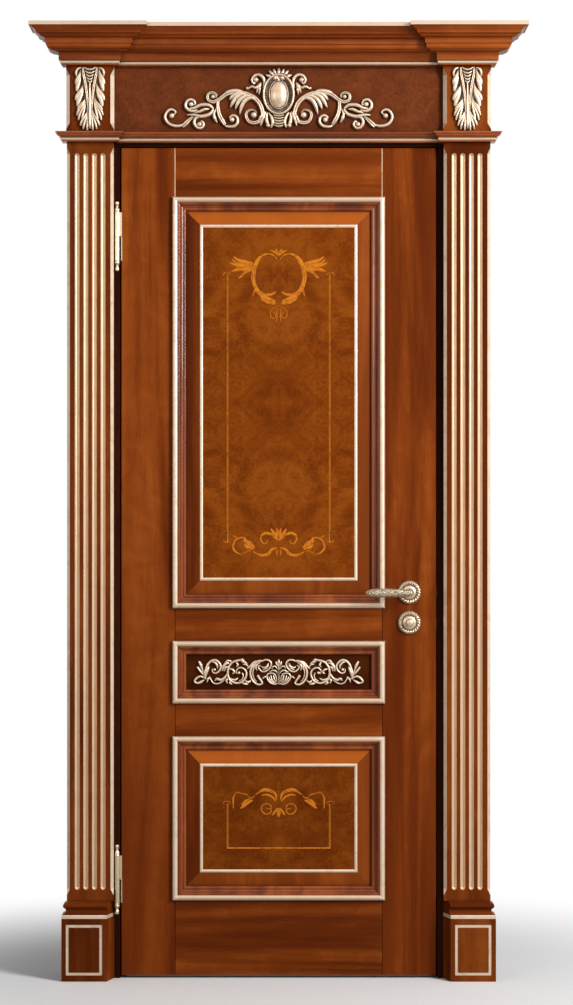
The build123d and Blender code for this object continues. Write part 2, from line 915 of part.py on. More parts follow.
def casing_head():
    """Flat casing over the opening."""
    reach = half_opening + casing_reveal + casing_width
    low = head_height + casing_reveal
    head = block(-reach, reach, wall_back, back_reach, low, low + casing_width)
    outer_edge = head.edges().filter_by(Axis.X).sort_by(Axis.Y)[-2:]
    return fillet(outer_edge, casing_round)


# Hinges


def wing(x, reach_y, bottom, top, front):
    """A flat hinge wing with rounded back corners, lying in the gap beside the leaf."""
    plate = block(x, x + wing_thickness, front, reach_y, bottom, top)
    corners = plate.edges().filter_by(Axis.X).sort_by(Axis.Y)[-2:]
    return fillet(corners, wing_corner)


def frame_wing(height):
    """Wing let into the jamb."""
    half = barrel_height / 2
    x = -half_opening - wing_thickness
    return wing(x, wing_depth, height - half, height + half, 0)


def door_wing(height):
    """Wing let into the leaf's edge."""
    half = barrel_height / 2
    return wing(-half_leaf, wing_depth, height - half, height + half, 0)


def knuckle(bottom, top):
    """Half of a hinge's barrel, bored for the pin."""
    tall = top - bottom
    place = Pos(hinge_x, -hinge_axis_rise, (bottom + top) / 2)
    return place * (Cylinder(hinge_radius, tall) - Cylinder(hinge_pin_radius + hinge_play, tall))


def hinge_screw_places(height):
    """Heights and depths of the screws of one wing."""
    return [
        (screw_inset - 6, height - barrel_height / 2 + 16),
        (screw_inset + 2, height - barrel_height / 6),
        (screw_inset + 2, height + barrel_height / 6),
        (screw_inset - 6, height + barrel_height / 2 - 16),
    ]


def wing_screw(x, y, z, direction):
    """Countersunk wood screw along X, its head flush with a wing's face at x."""
    head = Cone(screw_radius, screw_head_radius, wing_thickness)
    shank = Cylinder(screw_radius, screw_length)
    screw = Pos(0, 0, -wing_thickness / 2) * head
    screw += Pos(0, 0, -wing_thickness - screw_length / 2) * shank
    return Pos(x, y, z) * Rot(0, 90 * direction, 0) * screw


def frame_hinge_screws(height):
    """Screws of a frame wing, their heads towards the gap."""
    places = hinge_screw_places(height)
    return [wing_screw(-half_opening, y, z, 1) for y, z in places]


def door_hinge_screws(height):
    """Screws of a door wing, their heads towards the gap."""
    places = hinge_screw_places(height)
    return [wing_screw(-half_leaf, y, z, -1) for y, z in places]


def frame_hinge_leaf(height):
    """Lower half of the barrel with its tongue and the wing in the jamb."""
    half = barrel_height / 2
    x = -half_opening - wing_thickness
    tongue = block(
        x, x + wing_thickness, -hinge_axis_rise, 0, height - half, height - knuckle_gap / 2
    )
    bore = Pos(hinge_x, -hinge_axis_rise, height) * Cylinder(hinge_pin_radius + 1, barrel_height)
    leaf = frame_wing(height) + (tongue - bore) + knuckle(height - half, height - knuckle_gap / 2)
    for screw in frame_hinge_screws(height):
        leaf -= screw
    return leaf


def door_hinge_leaf(height):
    """Upper half of the barrel with its cranked strap and the wing in the leaf's edge."""
    half = barrel_height / 2
    low = height + knuckle_gap / 2
    strap = block(
        hinge_x + hinge_radius - 1.5,
        -half_leaf + wing_thickness,
        -hinge_axis_rise - wing_thickness / 2,
        -hinge_axis_rise + wing_thickness / 2,
        low,
        height + half,
    )
    tongue = block(
        -half_leaf, -half_leaf + wing_thickness, -hinge_axis_rise, 0, low, height + half
    )
    leaf = door_wing(height) + tongue + strap + knuckle(low, height + half)
    for screw in door_hinge_screws(height):
        leaf -= screw
    return leaf


def finial(upwards):
    """Turned finial on the hinge axis: acorn, neck and ball, standing on Z = 0."""
    r = hinge_radius
    tall = finial_height
    acorn = ThreePointArc((r * 0.9, 0), (r * 0.84, tall * 0.26), (r * 0.38, tall * 0.5))
    ball = ThreePointArc((r * 0.38, tall * 0.5), (r * 0.7, tall * 0.74), (r * 0.3, tall * 0.97))
    axis_side = Polyline((r * 0.3, tall * 0.97), (r * 0.2, tall), (0, tall), (0, 0), (r * 0.9, 0))
    turned = revolve(Plane.XZ * make_face([acorn, ball, *axis_side.edges()]), Axis.Z)
    return turned if upwards else Rot(180, 0, 0) * turned


def hinge_pin(height):
    """Pin through both knuckles, with the lower finial."""
    half = barrel_height / 2
    axis = Pos(hinge_x, -hinge_axis_rise, height)
    pin = axis * Cylinder(hinge_pin_radius, barrel_height)
    return pin + axis * Pos(0, 0, -half) * finial(False)


def hinge_cap(height):
    """Upper finial, screwed into the door's knuckle."""
    top = height + barrel_height / 2 + knuckle_gap / 2
    return Pos(hinge_x, -hinge_axis_rise, top) * finial(True)


# Lock


def bolt(height, thickness, tall, length):
    """A square bolt whose end is flush with the leaf's edge while it is drawn in."""
    return block(
        half_leaf - length,
        half_leaf,
        case_middle - thickness / 2,
        case_middle + thickness / 2,
        height - tall / 2,
        height + tall / 2,
    )


def latch_bolt():
    """Latch bolt with its nose bevelled on the side that meets the strike first."""
    body = bolt(lever_height, latch_thickness, latch_height, latch_length)
    nose = body.faces().sort_by(Axis.X)[-1].edges().filter_by(Axis.Z).sort_by(Axis.Y)[-1]
    return chamfer(nose, latch_thickness / 3)


def deadbolt():
    """Square deadbolt with eased corners."""
    body = bolt(turn_height, deadbolt_thickness, deadbolt_height, deadbolt_length)
    nose = body.faces().sort_by(Axis.X)[-1].edges()
    return chamfer(nose, 1)


def bolt_pockets():
    """Pockets for both bolts in the jamb, each a little deeper than its bolt's throw."""
    sizes = [
        (lever_height, latch_thickness, latch_height, latch_throw),
        (turn_height, deadbolt_thickness, deadbolt_height, deadbolt_throw),
    ]
    return [
        block(
            half_opening,
            half_leaf + throw + pocket_room,
            case_middle - thick / 2 - strike_play,
            case_middle + thick / 2 + strike_play,
            height - tall / 2 - strike_play,
            height + tall / 2 + strike_play,
        )
        for height, thick, tall, throw in sizes
    ]


def bolt_channels(start):
    """Guides for both bolts inside the lock, from a plane inside it to the leaf's edge."""
    sizes = [
        (lever_height, latch_thickness, latch_height),
        (turn_height, deadbolt_thickness, deadbolt_height),
    ]
    return [
        block(
            start,
            half_leaf,
            case_middle - thick / 2 - bolt_play,
            case_middle + thick / 2 + bolt_play,
            height - tall / 2 - bolt_play,
            height + tall / 2 + bolt_play,
        )
        for height, thick, tall in sizes
    ]


def lock_case():
    """Lock case with guides for the bolts and bores for the follower and the turn's tail."""
    case = block(
        half_leaf - case_depth,
        half_leaf - faceplate_thickness,
        case_middle - case_thickness / 2,
        case_middle + case_thickness / 2,
        case_bottom,
        case_top,
    )
    longest = max(latch_length, deadbolt_length)
    for channel in bolt_channels(half_leaf - longest - 1):
        case -= channel
    case -= through_hole(handle_x, lever_height, follower_radius + follower_play)
    case -= through_hole(handle_x, turn_height, tail_side)
    return case


def faceplate():
    """Faceplate let into the leaf's edge, with an opening for each bolt."""
    plate = block(
        half_leaf - faceplate_thickness,
        half_leaf,
        case_middle - faceplate_width / 2,
        case_middle + faceplate_width / 2,
        case_bottom - faceplate_margin,
        case_top + faceplate_margin,
    )
    for channel in bolt_channels(half_leaf - 2 * faceplate_thickness):
        plate -= channel
    return plate


def strike_blank():
    """Outline of the strike plate, which is also its recess in the jamb."""
    margin = 18
    return block(
        half_opening,
        half_opening + wing_thickness,
        case_middle - faceplate_width / 2,
        case_middle + faceplate_width / 2,
        turn_height - deadbolt_height / 2 - margin,
        lever_height + latch_height / 2 + margin,
    )


def strike_plate():
    """Strike plate with a hole for each bolt."""
    plate = strike_blank()
    for pocket in bolt_pockets():
        plate -= pocket
    return plate


def rosette(height):
    """Cast rosette on the front: beaded rim, groove and dished middle, bored for a neck."""
    r = rosette_radius
    t = rosette_thickness
    hole = neck_radius + neck_play
    foot = Polyline((hole, 0), (r - 1, 0), (r, 1), (r, 3))
    rim = ThreePointArc((r, 3), (r - 4.5, t), (r - 9, 4.5))
    groove = Polyline((r - 9, 4.5), (r - 10, 4.5 - rosette_groove), (r - 11, 4.5))
    dish = ThreePointArc((r - 11, 4.5), (r - 15, t * 0.72), (hole, t * 0.72))
    close = Line((hole, t * 0.72), (hole, 0))
    edges = [*foot.edges(), rim, *groove.edges(), dish, close]
    turned = revolve(Plane.XZ * make_face(edges), Axis.Z)
    return Pos(handle_x, 0, height) * Rot(90, 0, 0) * turned


def lever_handle():
    """Lever on the front: a turned neck and an arm that swells towards its rounded tip."""
    reach = rosette_thickness + neck_reach
    neck = Pos(0, 0, reach / 2) * Cylinder(neck_radius, reach)
    neck = Rot(90, 0, 0) * neck
    length = lever_length
    r = lever_radius
    swell = lever_swell
    profile = Spline(
        (0, r),
        (length * 0.25, r * 1.05),
        (length * 0.62, swell),
        (length * 0.9, swell * 0.72),
        (length, 0),
        tangents=((1, 0), (0, -1)),
    )
    cap = ThreePointArc((-r, 0), (-r * cos(pi / 4), r * sin(pi / 4)), (0, r))
    axis_line = Line((length, 0), (-r, 0))
    arm = revolve(make_face([profile, cap, axis_line]), Axis.X)
    arm = Rot(0, 180, 0) * arm
    handle = neck + Pos(0, -reach, 0) * arm
    socket = Pos(0, -reach / 2, 0) * Box(
        spindle_side + 2 * spindle_play, reach, spindle_side + 2 * spindle_play
    )
    return Pos(handle_x, 0, lever_height) * (handle - socket)


def spindle():
    """Square spindle between the two levers, through the follower."""
    half = leaf_thickness / 2 + rosette_thickness + neck_reach / 2
    return Pos(handle_x, case_middle, lever_height) * Box(spindle_side, 2 * half, spindle_side)


def lock_follower():
    """Round follower in the lock case, with a square hole for the spindle."""
    hole = spindle_side + 2 * spindle_play
    hub = Rot(90, 0, 0) * Cylinder(follower_radius, case_thickness)
    return Pos(handle_x, case_middle, lever_height) * (hub - Box(hole, leaf_thickness, hole))


def thumb_turn():
    """Thumb turn on the front: a neck and a domed knob with two flats to grip."""
    start = rosette_thickness
    neck = Rot(90, 0, 0) * Pos(0, 0, start / 2) * Cylinder(neck_radius, start)
    r = turn_knob_radius
    dome = Sphere(r)
    knob = Pos(0, -start - turn_knob_reach + r, 0) * dome
    stem = Pos(0, 0, start + turn_knob_reach / 4) * Cylinder(r * 0.7, turn_knob_reach / 2)
    stem = Rot(90, 0, 0) * stem
    grip = Box(2 * r * 0.72, 4 * turn_knob_reach, 3 * r)
    socket = Pos(0, -start / 2, 0) * Box(
        tail_side + 2 * spindle_play, start, tail_side + 2 * spindle_play
    )
    knob = (knob & grip) + stem + neck - socket
    return Pos(handle_x, 0, turn_height) * knob


def turn_tail():
    """Square tail that carries the thumb turn's motion through the lock."""
    half = leaf_thickness / 2 + rosette_thickness / 2
    return Pos(handle_x, case_middle, turn_height) * Box(tail_side, 2 * half, tail_side)


def release_disc():
    """Outside release on the hidden side: a disc with a coin slot."""
    reach = rosette_thickness
    disc = Rot(90, 0, 0) * Pos(0, 0, reach / 2) * Cylinder(neck_radius, reach)
    disc -= Pos(0, -reach, 0) * Box(2 * neck_radius, 3, 2)
    socket = Pos(0, -reach / 3, 0) * Box(
        tail_side + 2 * spindle_play, reach * 0.67, tail_side + 2 * spindle_play
    )
    return turned_over(Pos(handle_x, 0, turn_height) * (disc - socket))


def plate_screws():
    """Countersunk screws of the faceplate, in the leaf's edge."""
    places = (case_bottom - faceplate_margin / 2, case_top + faceplate_margin / 2)
    return [wing_screw(half_leaf, case_middle, z, 1) for z in places]


def strike_screws():
    """Countersunk screws of the strike plate."""
    blank = strike_blank().bounding_box()
    places = (blank.min.Z + 9, blank.max.Z - 9)
    return [wing_screw(half_opening, case_middle, z, -1) for z in places]


def without(part, cutters):
    """A piece with other pieces' shapes taken out of it."""
    for cutter in cutters:
        part -= cutter
    return part


def save_frame():
    """Everything that stays on the wall."""
    hinge_heights = (lower_hinge_height, upper_hinge_height)
    screws = [screw for height in hinge_heights for screw in frame_hinge_screws(height)]
    save("jamb_left", without(left_jamb(), screws))
    save("jamb_right", without(right_jamb(), strike_screws()))
    save("jamb_head", head_jamb())
    save("door_stops", *door_stops())
    save("seal_strips", *seals())
    for side, place in (("left", mirrored), ("right", lambda part: part)):
        save(f"pilaster_{side}", place(pilaster()))
        save(f"plinth_{side}", place(plinth()))
        save(f"capital_{side}", place(capital()))
        save(f"acanthus_{side}", place(acanthus()))
        save(f"casing_{side}", place(casing_leg()))
    save("plinth_mouldings", mirrored(plinth_moulding()), plinth_moulding())
    save("casing_head", casing_head())
    save("frieze_board", frieze())
    save("astragal_moulding", *broken_run(astragal_profile(), astragal_reach, pilaster_top))
    save("crown_cornice", *broken_run(crown_profile(), crown_reach, crown_bottom))
    save("cartouche", cartouche())
    save("hinge_frame_leaves", *[frame_hinge_leaf(height) for height in hinge_heights])
    save("hinge_pins", *[hinge_pin(height) for height in hinge_heights])
    save("frame_screws", *screws, *strike_screws())
    save("strike_plate", without(strike_plate(), strike_screws()))


def save_leaf():
    """Everything that swings with the leaf."""
    hinge_heights = (lower_hinge_height, upper_hinge_height)
    screws = [screw for height in hinge_heights for screw in door_hinge_screws(height)]
    save("stile_hinge", without(hinge_stile(), screws))
    save("stile_lock", without(lock_stile(), plate_screws()))
    names = ("rail_bottom", "rail_lock_lower", "rail_lock_upper", "rail_top")
    for name, place in zip(names, rail_places()):
        save(name, rail(*place))
    hidden = []
    for name, place in opening_places().items():
        sticks = panel_moulding(*place)
        save(f"moulding_{name}", *sticks)
        hidden += [turned_over(stick) for stick in sticks]
    save("mouldings_back", *hidden)
    upper_bead = field_bead(*opening_places()["upper"])
    lower_bead = field_bead(*opening_places()["lower"])
    upper_panel = fielded_panel(*opening_places()["upper"])
    lower_panel = fielded_panel(*opening_places()["lower"])
    save("panel_upper", without(upper_panel, [*upper_bead, *upper_lines(), *upper_ornaments()]))
    save("panel_lower", without(lower_panel, [*lower_bead, *lower_lines(), *lower_ornament()]))
    save("panel_middle", middle_panel())
    save("field_bead_upper", *upper_bead)
    save("field_bead_lower", *lower_bead)
    save("inlay_lines", *upper_lines(), *lower_lines())
    save("marquetry_upper", *upper_ornaments())
    save("marquetry_lower", *lower_ornament())
    save("scroll_middle", middle_scroll())
    caps = [hinge_cap(height) for height in hinge_heights]
    save("hinge_door_leaves", *[door_hinge_leaf(height) for height in hinge_heights], *caps)
    save("lock_case", lock_case())
    save("lock_faceplate", without(faceplate(), plate_screws()))
    save("leaf_screws", *screws, *plate_screws())
    rosettes = [rosette(lever_height), rosette(turn_height)]
    save("rosettes_front", *rosettes)
    save("rosettes_back", *[turned_over(part) for part in rosettes])


def save_moving_hardware():
    """Levers, thumb turn and bolts."""
    save("lever_front", lever_handle())
    save("lever_back", turned_over(lever_handle()))
    save("lever_spindle", spindle())
    save("lock_follower", lock_follower())
    save("thumb_turn", thumb_turn())
    save("turn_tail", turn_tail())
    save("release_disc", release_disc())
    save("latch_bolt", latch_bolt())
    save("deadbolt", deadbolt())


def main():
    os.makedirs("parts", exist_ok=True)
    save_frame()
    save_leaf()
    save_moving_hardware()


if __name__ == "__main__":
    main()
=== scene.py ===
from math import cos, hypot, pi, sin

import bpy
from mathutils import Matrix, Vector


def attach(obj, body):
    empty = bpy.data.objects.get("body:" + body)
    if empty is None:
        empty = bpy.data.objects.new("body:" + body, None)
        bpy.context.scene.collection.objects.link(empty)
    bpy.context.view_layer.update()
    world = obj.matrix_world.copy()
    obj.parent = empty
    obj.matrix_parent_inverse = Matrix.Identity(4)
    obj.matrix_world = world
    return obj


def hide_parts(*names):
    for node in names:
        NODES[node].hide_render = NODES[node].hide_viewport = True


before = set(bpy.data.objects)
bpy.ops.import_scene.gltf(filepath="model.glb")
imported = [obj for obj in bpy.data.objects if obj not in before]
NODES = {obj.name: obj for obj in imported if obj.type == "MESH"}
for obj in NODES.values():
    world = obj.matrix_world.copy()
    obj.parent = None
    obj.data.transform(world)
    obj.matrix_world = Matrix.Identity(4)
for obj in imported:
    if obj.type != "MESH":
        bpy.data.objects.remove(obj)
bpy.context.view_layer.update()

bl_info = {
    "name": "Classical panelled door",
    "version": (1, 0, 0),
    "blender": (4, 5, 0),
    "location": "View3D > Sidebar > Door",
    "description": "Finishes, carving and studio for a panelled door with a gilded surround",
    "category": "Object",
}

# Places that the carving and the finishes are set out from, in metres, in the door's frame.
DEPTH = -0.003
LEAF_FACE = DEPTH
FIELD_FACE = DEPTH + 0.002
PILASTER_FACE = DEPTH - 0.024
CAPITAL_FACE = DEPTH - 0.028
FRIEZE_FACE = DEPTH - 0.008
PLINTH_FACE = DEPTH - 0.046
MIDDLE_PANEL_FACE = DEPTH + 0.010
LEAF_BACK = DEPTH + 0.042
PILASTER_AXIS = 0.477
PILASTER_INNER = 0.418
PILASTER_OUTER = 0.536
MEDALLION_HEIGHT = 2.2425
CAPITAL_MIDDLE = 2.2285
SCROLL_HEIGHT = 0.777
HANDLE = (0.332, 0.980)
TURN = (0.332, 0.903)
HINGE = (-0.410, DEPTH - 0.009)
HINGE_HEIGHTS = (0.252, 1.883)
BARREL_HALF = 0.0605
OPENINGS = {"lower": (0.205, 0.6075), "middle": (0.7045, 0.8495), "upper": (0.9465, 1.977)}
MOULDING_HALF_WIDTH = 0.270
MOULDING_LAP = 0.007
TORUS_WIDTH = 0.0136
FIELD_HALF_WIDTH = 0.200
PANEL_MARGIN = 0.063
STILE_EDGE = 0.264
RAIL_END = 0.262
TOP_RAIL_FOOT = 1.983
FLUTE_EDGE = 0.016
PLINTH_LINE_ACROSS = (0.4445, 0.5375)
PLINTH_LINE_HEIGHTS = (0.0145, 0.1435)
PLINTH_FILLET_TOP = 0.167
CAPITAL_CHEEK = 0.455
CROWN_BEADS = ((2.3160, 2.3250), (2.4010, 2.4110))
CROWN_TOP = 2.4096
ASTRAGAL_BEADS = ((2.1228, 2.1302),)

# Heights of the marquetry's middles above the floor, in millimetres.
HEART_HEIGHT = 1784.0
UPPER_GARLAND_HEIGHT = 1103.7
LOWER_GARLAND_HEIGHT = 443.7

# How far the strips of veneer stand out of the field, in millimetres.
LIGHT_PROUD = 0.10
SCORCHED_PROUD = 0.16

# Half the width over which a gilded edge fades into the wood, in metres.
SOFT = 0.0002


def rgb(values):
    """A property's colour as the four numbers that a shader socket takes."""
    return (values[0], values[1], values[2], 1.0)


def scaled(values, share):
    """A colour made darker or lighter."""
    return [value * share for value in values]


# Shader graphs


class Value:
    """A number or vector socket on which Python's operators add Math nodes."""

    def __init__(self, graph, socket):
        self.graph = graph
        self.socket = socket

    def math(self, operation, *others):
        return self.graph.math(operation, self, *others)

    def __add__(self, other):
        return self.math("ADD", other)

    def __radd__(self, other):
        return self.graph.math("ADD", other, self)

    def __sub__(self, other):
        return self.math("SUBTRACT", other)

    def __rsub__(self, other):
        return self.graph.math("SUBTRACT", other, self)

    def __mul__(self, other):
        return self.math("MULTIPLY", other)

    def __rmul__(self, other):
        return self.graph.math("MULTIPLY", other, self)

    def __truediv__(self, other):
        return self.math("DIVIDE", other)

    def __rtruediv__(self, other):
        return self.graph.math("DIVIDE", other, self)

    def __neg__(self):
        return self.math("MULTIPLY", -1.0)

    def __abs__(self):
        return self.math("ABSOLUTE")

    def __pow__(self, other):
        return self.math("POWER", other)

    def sine(self):
        return self.math("SINE")

    def least(self, other):
        return self.math("MINIMUM", other)

    def most(self, other):
        return self.math("MAXIMUM", other)

    def step(self, low, high):
        """0 below low, 1 above high, smooth between them."""
        settings = {"interpolation_type": "SMOOTHSTEP", "clamp": True}
        inputs = {"Value": self, "From Min": low, "From Max": high, "To Min": 0.0, "To Max": 1.0}
        return self.graph.node("ShaderNodeMapRange", settings, inputs)

    def within(self, low, high, soft):
        """1 between low and high, 0 outside."""
        return self.step(low - soft, low + soft) * (1.0 - self.step(high - soft, high + soft))


class Graph:
    """The nodes of a new material, or of a world."""

    def __init__(self, name, world=None):
        self.material = world or bpy.data.materials.new(name)
        self.material.use_nodes = True
        self.tree = self.material.node_tree
        self.tree.nodes.clear()
        self.coordinates = None

    def node(self, kind, settings=None, inputs=None, output=0):
        """Adds a node: its settings first, then its sockets' values or links."""
        made = self.tree.nodes.new(kind)
        for key, value in (settings or {}).items():
            setattr(made, key, value)
        for key, value in (inputs or {}).items():
            self.feed(self.find_input(made, key), value)
        outputs = [s for s in made.outputs if s.enabled]
        return Value(self, outputs[output]) if outputs else None

    def find_input(self, made, key):
        if isinstance(key, int):
            return made.inputs[key]
        return [s for s in made.inputs if s.name == key and s.enabled][0]

    def feed(self, socket, value):
        if isinstance(value, Value):
            self.tree.links.new(value.socket, socket)
        else:
            socket.default_value = value

    def math(self, operation, *values):
        return self.node("ShaderNodeMath", {"operation": operation}, dict(enumerate(values)))

    def place(self):
        """Object coordinates as a vector."""
        if self.coordinates is None:
            self.coordinates = self.node("ShaderNodeTexCoord", output=3)
        return self.coordinates

    def outputs_of(self, value):
        """All outputs of the node that a value comes from, by name."""
        return {socket.name: Value(self, socket) for socket in value.socket.node.outputs}

    def split(self, vector):
        made = self.node("ShaderNodeSeparateXYZ", None, {"Vector": vector})
        return list(self.outputs_of(made).values())

    def axes(self):
        """Object coordinates as three values."""
        return self.split(self.place())

    def facing(self):
        """The surface's own direction as three values."""
        return self.split(self.outputs_of(self.place())["Normal"])

    def vector(self, x, y, z):
        return self.node("ShaderNodeCombineXYZ", None, {"X": x, "Y": y, "Z": z})

    def noise(self, vector, scale, detail=3.0, roughness=0.55, distortion=0.0):
        inputs = {
            "Vector": vector,
            "Scale": scale,
            "Detail": detail,
            "Roughness": roughness,
            "Distortion": distortion,
        }
        return self.node("ShaderNodeTexNoise", None, inputs)

    def cells(self, vector, scale, feature="F1"):
        inputs = {"Vector": vector, "Scale": scale}
        return self.node("ShaderNodeTexVoronoi", {"feature": feature}, inputs)

    def colour(self, value):
        return value if isinstance(value, Value) else rgb(value)

    def mix(self, share, first, second):
        """A colour between two, each a colour or a link."""
        inputs = {"Factor": share, "A": self.colour(first), "B": self.colour(second)}
        return self.node("ShaderNodeMix", {"data_type": "RGBA"}, inputs)

    def attribute(self, name):
        return self.node("ShaderNodeAttribute", {"attribute_name": name}, output=2)

    def shelter(self, distance):
        """How open the surface is round a point: 1 in the open, 0 in a recess."""
        settings = {"samples": 6, "only_local": False}
        return self.node("ShaderNodeAmbientOcclusion", settings, {"Distance": distance}, output=1)

    def bump(self, height, depth, strength=1.0):
        inputs = {"Height": height, "Distance": depth, "Strength": strength}
        return self.node("ShaderNodeBump", None, inputs)

    def finish(self, colour, roughness, metallic=0.0, normal=None, level=0.5, coat=0.0, coat_roughness=0.1):
        """The material's one surface shader."""
        inputs = {
            "Base Color": self.colour(colour),
            "Roughness": roughness,
            "Metallic": metallic,
            "Specular IOR Level": level,
            "Coat Weight": coat,
            "Coat Roughness": coat_roughness,
        }
        if normal is not None:
            inputs["Normal"] = normal
        shader = self.node("ShaderNodeBsdfPrincipled", None, inputs)
        self.node("ShaderNodeOutputMaterial", None, {"Surface": shader})
        return self.material


# Finishes


def walnut_colour(graph, along, seed, tones):
    """Colour and height of varnished walnut with its grain along one axis."""
    x, y, z = graph.axes()
    shifted = [x + seed * 1.7, y + seed * 0.9, z + seed * 2.3]
    stretch = [1.0, 1.0, 1.0]
    stretch["xyz".index(along)] = 0.07
    lengthways = graph.vector(*[value * share for value, share in zip(shifted, stretch)])
    drift = graph.noise(lengthways, 5.0, 2.0, 0.5, 0.6)
    across = x if along == "z" else z
    rings = ((across + seed * 0.37) * 60.0 + drift * 26.0).sine() * 0.5 + 0.5
    broad = graph.noise(lengthways, 7.0, 3.0, 0.6, 1.2)
    fine = graph.noise(lengthways, 150.0, 3.0, 0.7, 0.3)
    squeeze = [value * (30.0 if "xyz"[i] != along else 1.4) for i, value in enumerate(shifted)]
    pores = graph.noise(graph.vector(*squeeze), 22.0, 2.0, 0.8).step(0.62, 0.72)
    figure = graph.noise(graph.vector(*shifted), 9.0, 2.0, 0.5, 2.0)
    tone = broad.step(0.3, 0.72) * 0.55 + rings * 0.2 + fine * 0.3
    dark, middle, light = tones
    colour = graph.mix(tone.step(0.15, 0.62), dark, middle)
    colour = graph.mix((tone * 0.9 + figure * 0.5).step(0.62, 1.15), colour, light)
    colour = graph.mix(pores * 0.55, colour, scaled(dark, 0.35))
    height = fine * 0.4 - pores * 0.6
    return colour, height


def burl_colour(graph, seed, tones, scale=1.0, join=None):
    """Colour and height of burl veneer, book-matched about the middle of the door."""
    x, y, z = graph.axes()
    upright = z if join is None else abs(z - join)
    leaf = graph.vector(abs(x) + seed, 0.0, upright + seed * 3.1)
    swirl = graph.noise(leaf, 14.0 * scale, 4.0, 0.6, 2.2)
    cloud = graph.noise(leaf, 4.5 * scale, 3.0, 0.6, 1.4)
    speck = graph.noise(leaf, 160.0 * scale, 3.0, 0.75, 0.8)
    eyes = graph.cells(graph.vector(abs(x) + swirl * 0.02, 0.0, upright + cloud * 0.03), 75.0 * scale)
    dark, middle, light = tones
    tone = swirl * 0.45 + speck * 0.45 + cloud * 0.3
    colour = graph.mix(tone.step(0.38, 0.62), dark, middle)
    colour = graph.mix((tone + cloud * 0.3).step(0.68, 0.95), colour, light)
    spots = 1.0 - eyes.step(0.05, 0.28)
    colour = graph.mix(spots * speck.step(0.45, 0.6) * 0.55, colour, scaled(dark, 0.4))
    return colour, speck * 0.3


def gilding(graph, look):
    """Colour and roughness of champagne gilding with a little brown patina."""
    place = graph.place()
    worn = graph.noise(place, 28.0, 4.0, 0.65, 0.8)
    grain = graph.noise(place, 420.0, 2.0, 0.7)
    colour = graph.mix(worn.step(0.42, 0.8), look.gilt, look.gilt_shade)
    colour = graph.mix(grain.step(0.62, 0.85) * 0.35, colour, look.patina_and_shade)
    return colour, worn * 0.12 + grain * 0.1 + 0.22


def varnish(graph, colour, roughness, metallic, height, gloss):
    """The satin coat that all of the wood and its gilded edges share."""
    normal = graph.bump(height, 0.0004, 0.35)
    return graph.finish(colour, roughness, metallic, normal, 0.03 + 0.3 * gloss, 0.5 * gloss, 0.08)


def varnished(graph, colour, height, look, recess=0.012, gloss=0.0):
    """Satin varnish over a wood colour, with painted shade in tight corners."""
    colour = graph.mix((1.0 - graph.shelter(recess)) * 0.75, colour, look.patina_and_shade)
    return varnish(graph, colour, height * 0.08 + 0.3 - gloss * 0.12, 0.0, height, gloss)


def varnished_with_gilding(
    graph, colour, height, mask, look, recess=0.012, gloss=0.0, gold_recess=None, painted_gold_shade=0.0
):
    """Varnished wood that is gilded where a mask is 1, with painted shade in the corners of wood and gold;
    the last argument turns the gold yellow as painted shade.
    """
    gold, gold_roughness = gilding(graph, look)
    # Painted shade: the gold turns towards the shaded gilding colour by the last argument
    gold = graph.mix(painted_gold_shade, gold, look.gilt_shade)
    open_air = graph.shelter(recess)
    # Painted shade: wood and gold darken where ambient occlusion finds a corner or recess
    wood = graph.mix((1.0 - open_air) * 0.75, colour, look.patina_and_shade)
    gold_air = open_air if gold_recess is None else graph.shelter(gold_recess)
    gold = graph.mix((1.0 - gold_air.step(0.25, 0.9)) * 0.8, gold, look.patina_and_shade)
    plain = 1.0 - mask
    roughness = (height * 0.08 + 0.3 - gloss * 0.12) * plain + gold_roughness * mask
    return varnish(graph, graph.mix(mask, wood, gold), roughness, mask * 0.45, height * plain, gloss)


def tones_of(look, share=1.0):
    """Dark, middle and light tone of the walnut."""
    return [scaled(tone, share) for tone in (look.walnut_dark, look.walnut, look.walnut_light)]


def united(masks):
    """1 where any of several masks is 1."""
    whole = masks[0]
    for mask in masks[1:]:
        whole = whole.most(mask)
    return whole


def oblique(x_facing, y_facing):
    """1 on a chamfer that turns from the front to a side."""
    return abs(x_facing).within(0.35, 0.95, 0.02) * abs(y_facing).within(0.35, 0.95, 0.02)


def board(name, along, seed, look, share=1.0):
    """Plain varnished walnut board."""
    graph = Graph(name)
    colour, height = walnut_colour(graph, along, seed, tones_of(look, share))
    return varnished(graph, colour, height, look)


def stile_finish(name, seed, look):
    """Stile with a gilded line in the groove beside the top rail, and painted shade towards its foot."""
    graph = Graph(name)
    colour, height = walnut_colour(graph, "z", seed, tones_of(look))
    x, y, z = graph.axes()
    # Painted shade: the walnut darkens towards the foot of the stile, where less light falls
    colour = graph.mix((1.0 - z.step(0.2, 1.3)) * 0.4, colour, look.walnut_dark)
    groove = 1.0 - abs(x).step(STILE_EDGE, STILE_EDGE + 2 * SOFT)
    mask = groove * z.step(TOP_RAIL_FOOT, TOP_RAIL_FOOT + 0.001)
    return varnished_with_gilding(graph, colour, height, mask, look, gold_recess=0.0005)


def top_rail_finish(name, seed, look):
    """Top rail with a gilded line in the groove at both ends."""
    graph = Graph(name)
    colour, height = walnut_colour(graph, "x", seed, tones_of(look))
    x, y, z = graph.axes()
    mask = abs(x).step(RAIL_END - 2 * SOFT, RAIL_END)
    return varnished_with_gilding(graph, colour, height, mask, look, gold_recess=0.0005)


def moulding_edge(x, z, opening):
    """How far a point lies inside the outer edge of the moulding round an opening."""
    low, high = OPENINGS[opening]
    side = MOULDING_HALF_WIDTH - abs(x)
    return side.least(z - (low - MOULDING_LAP)).least((high + MOULDING_LAP) - z)


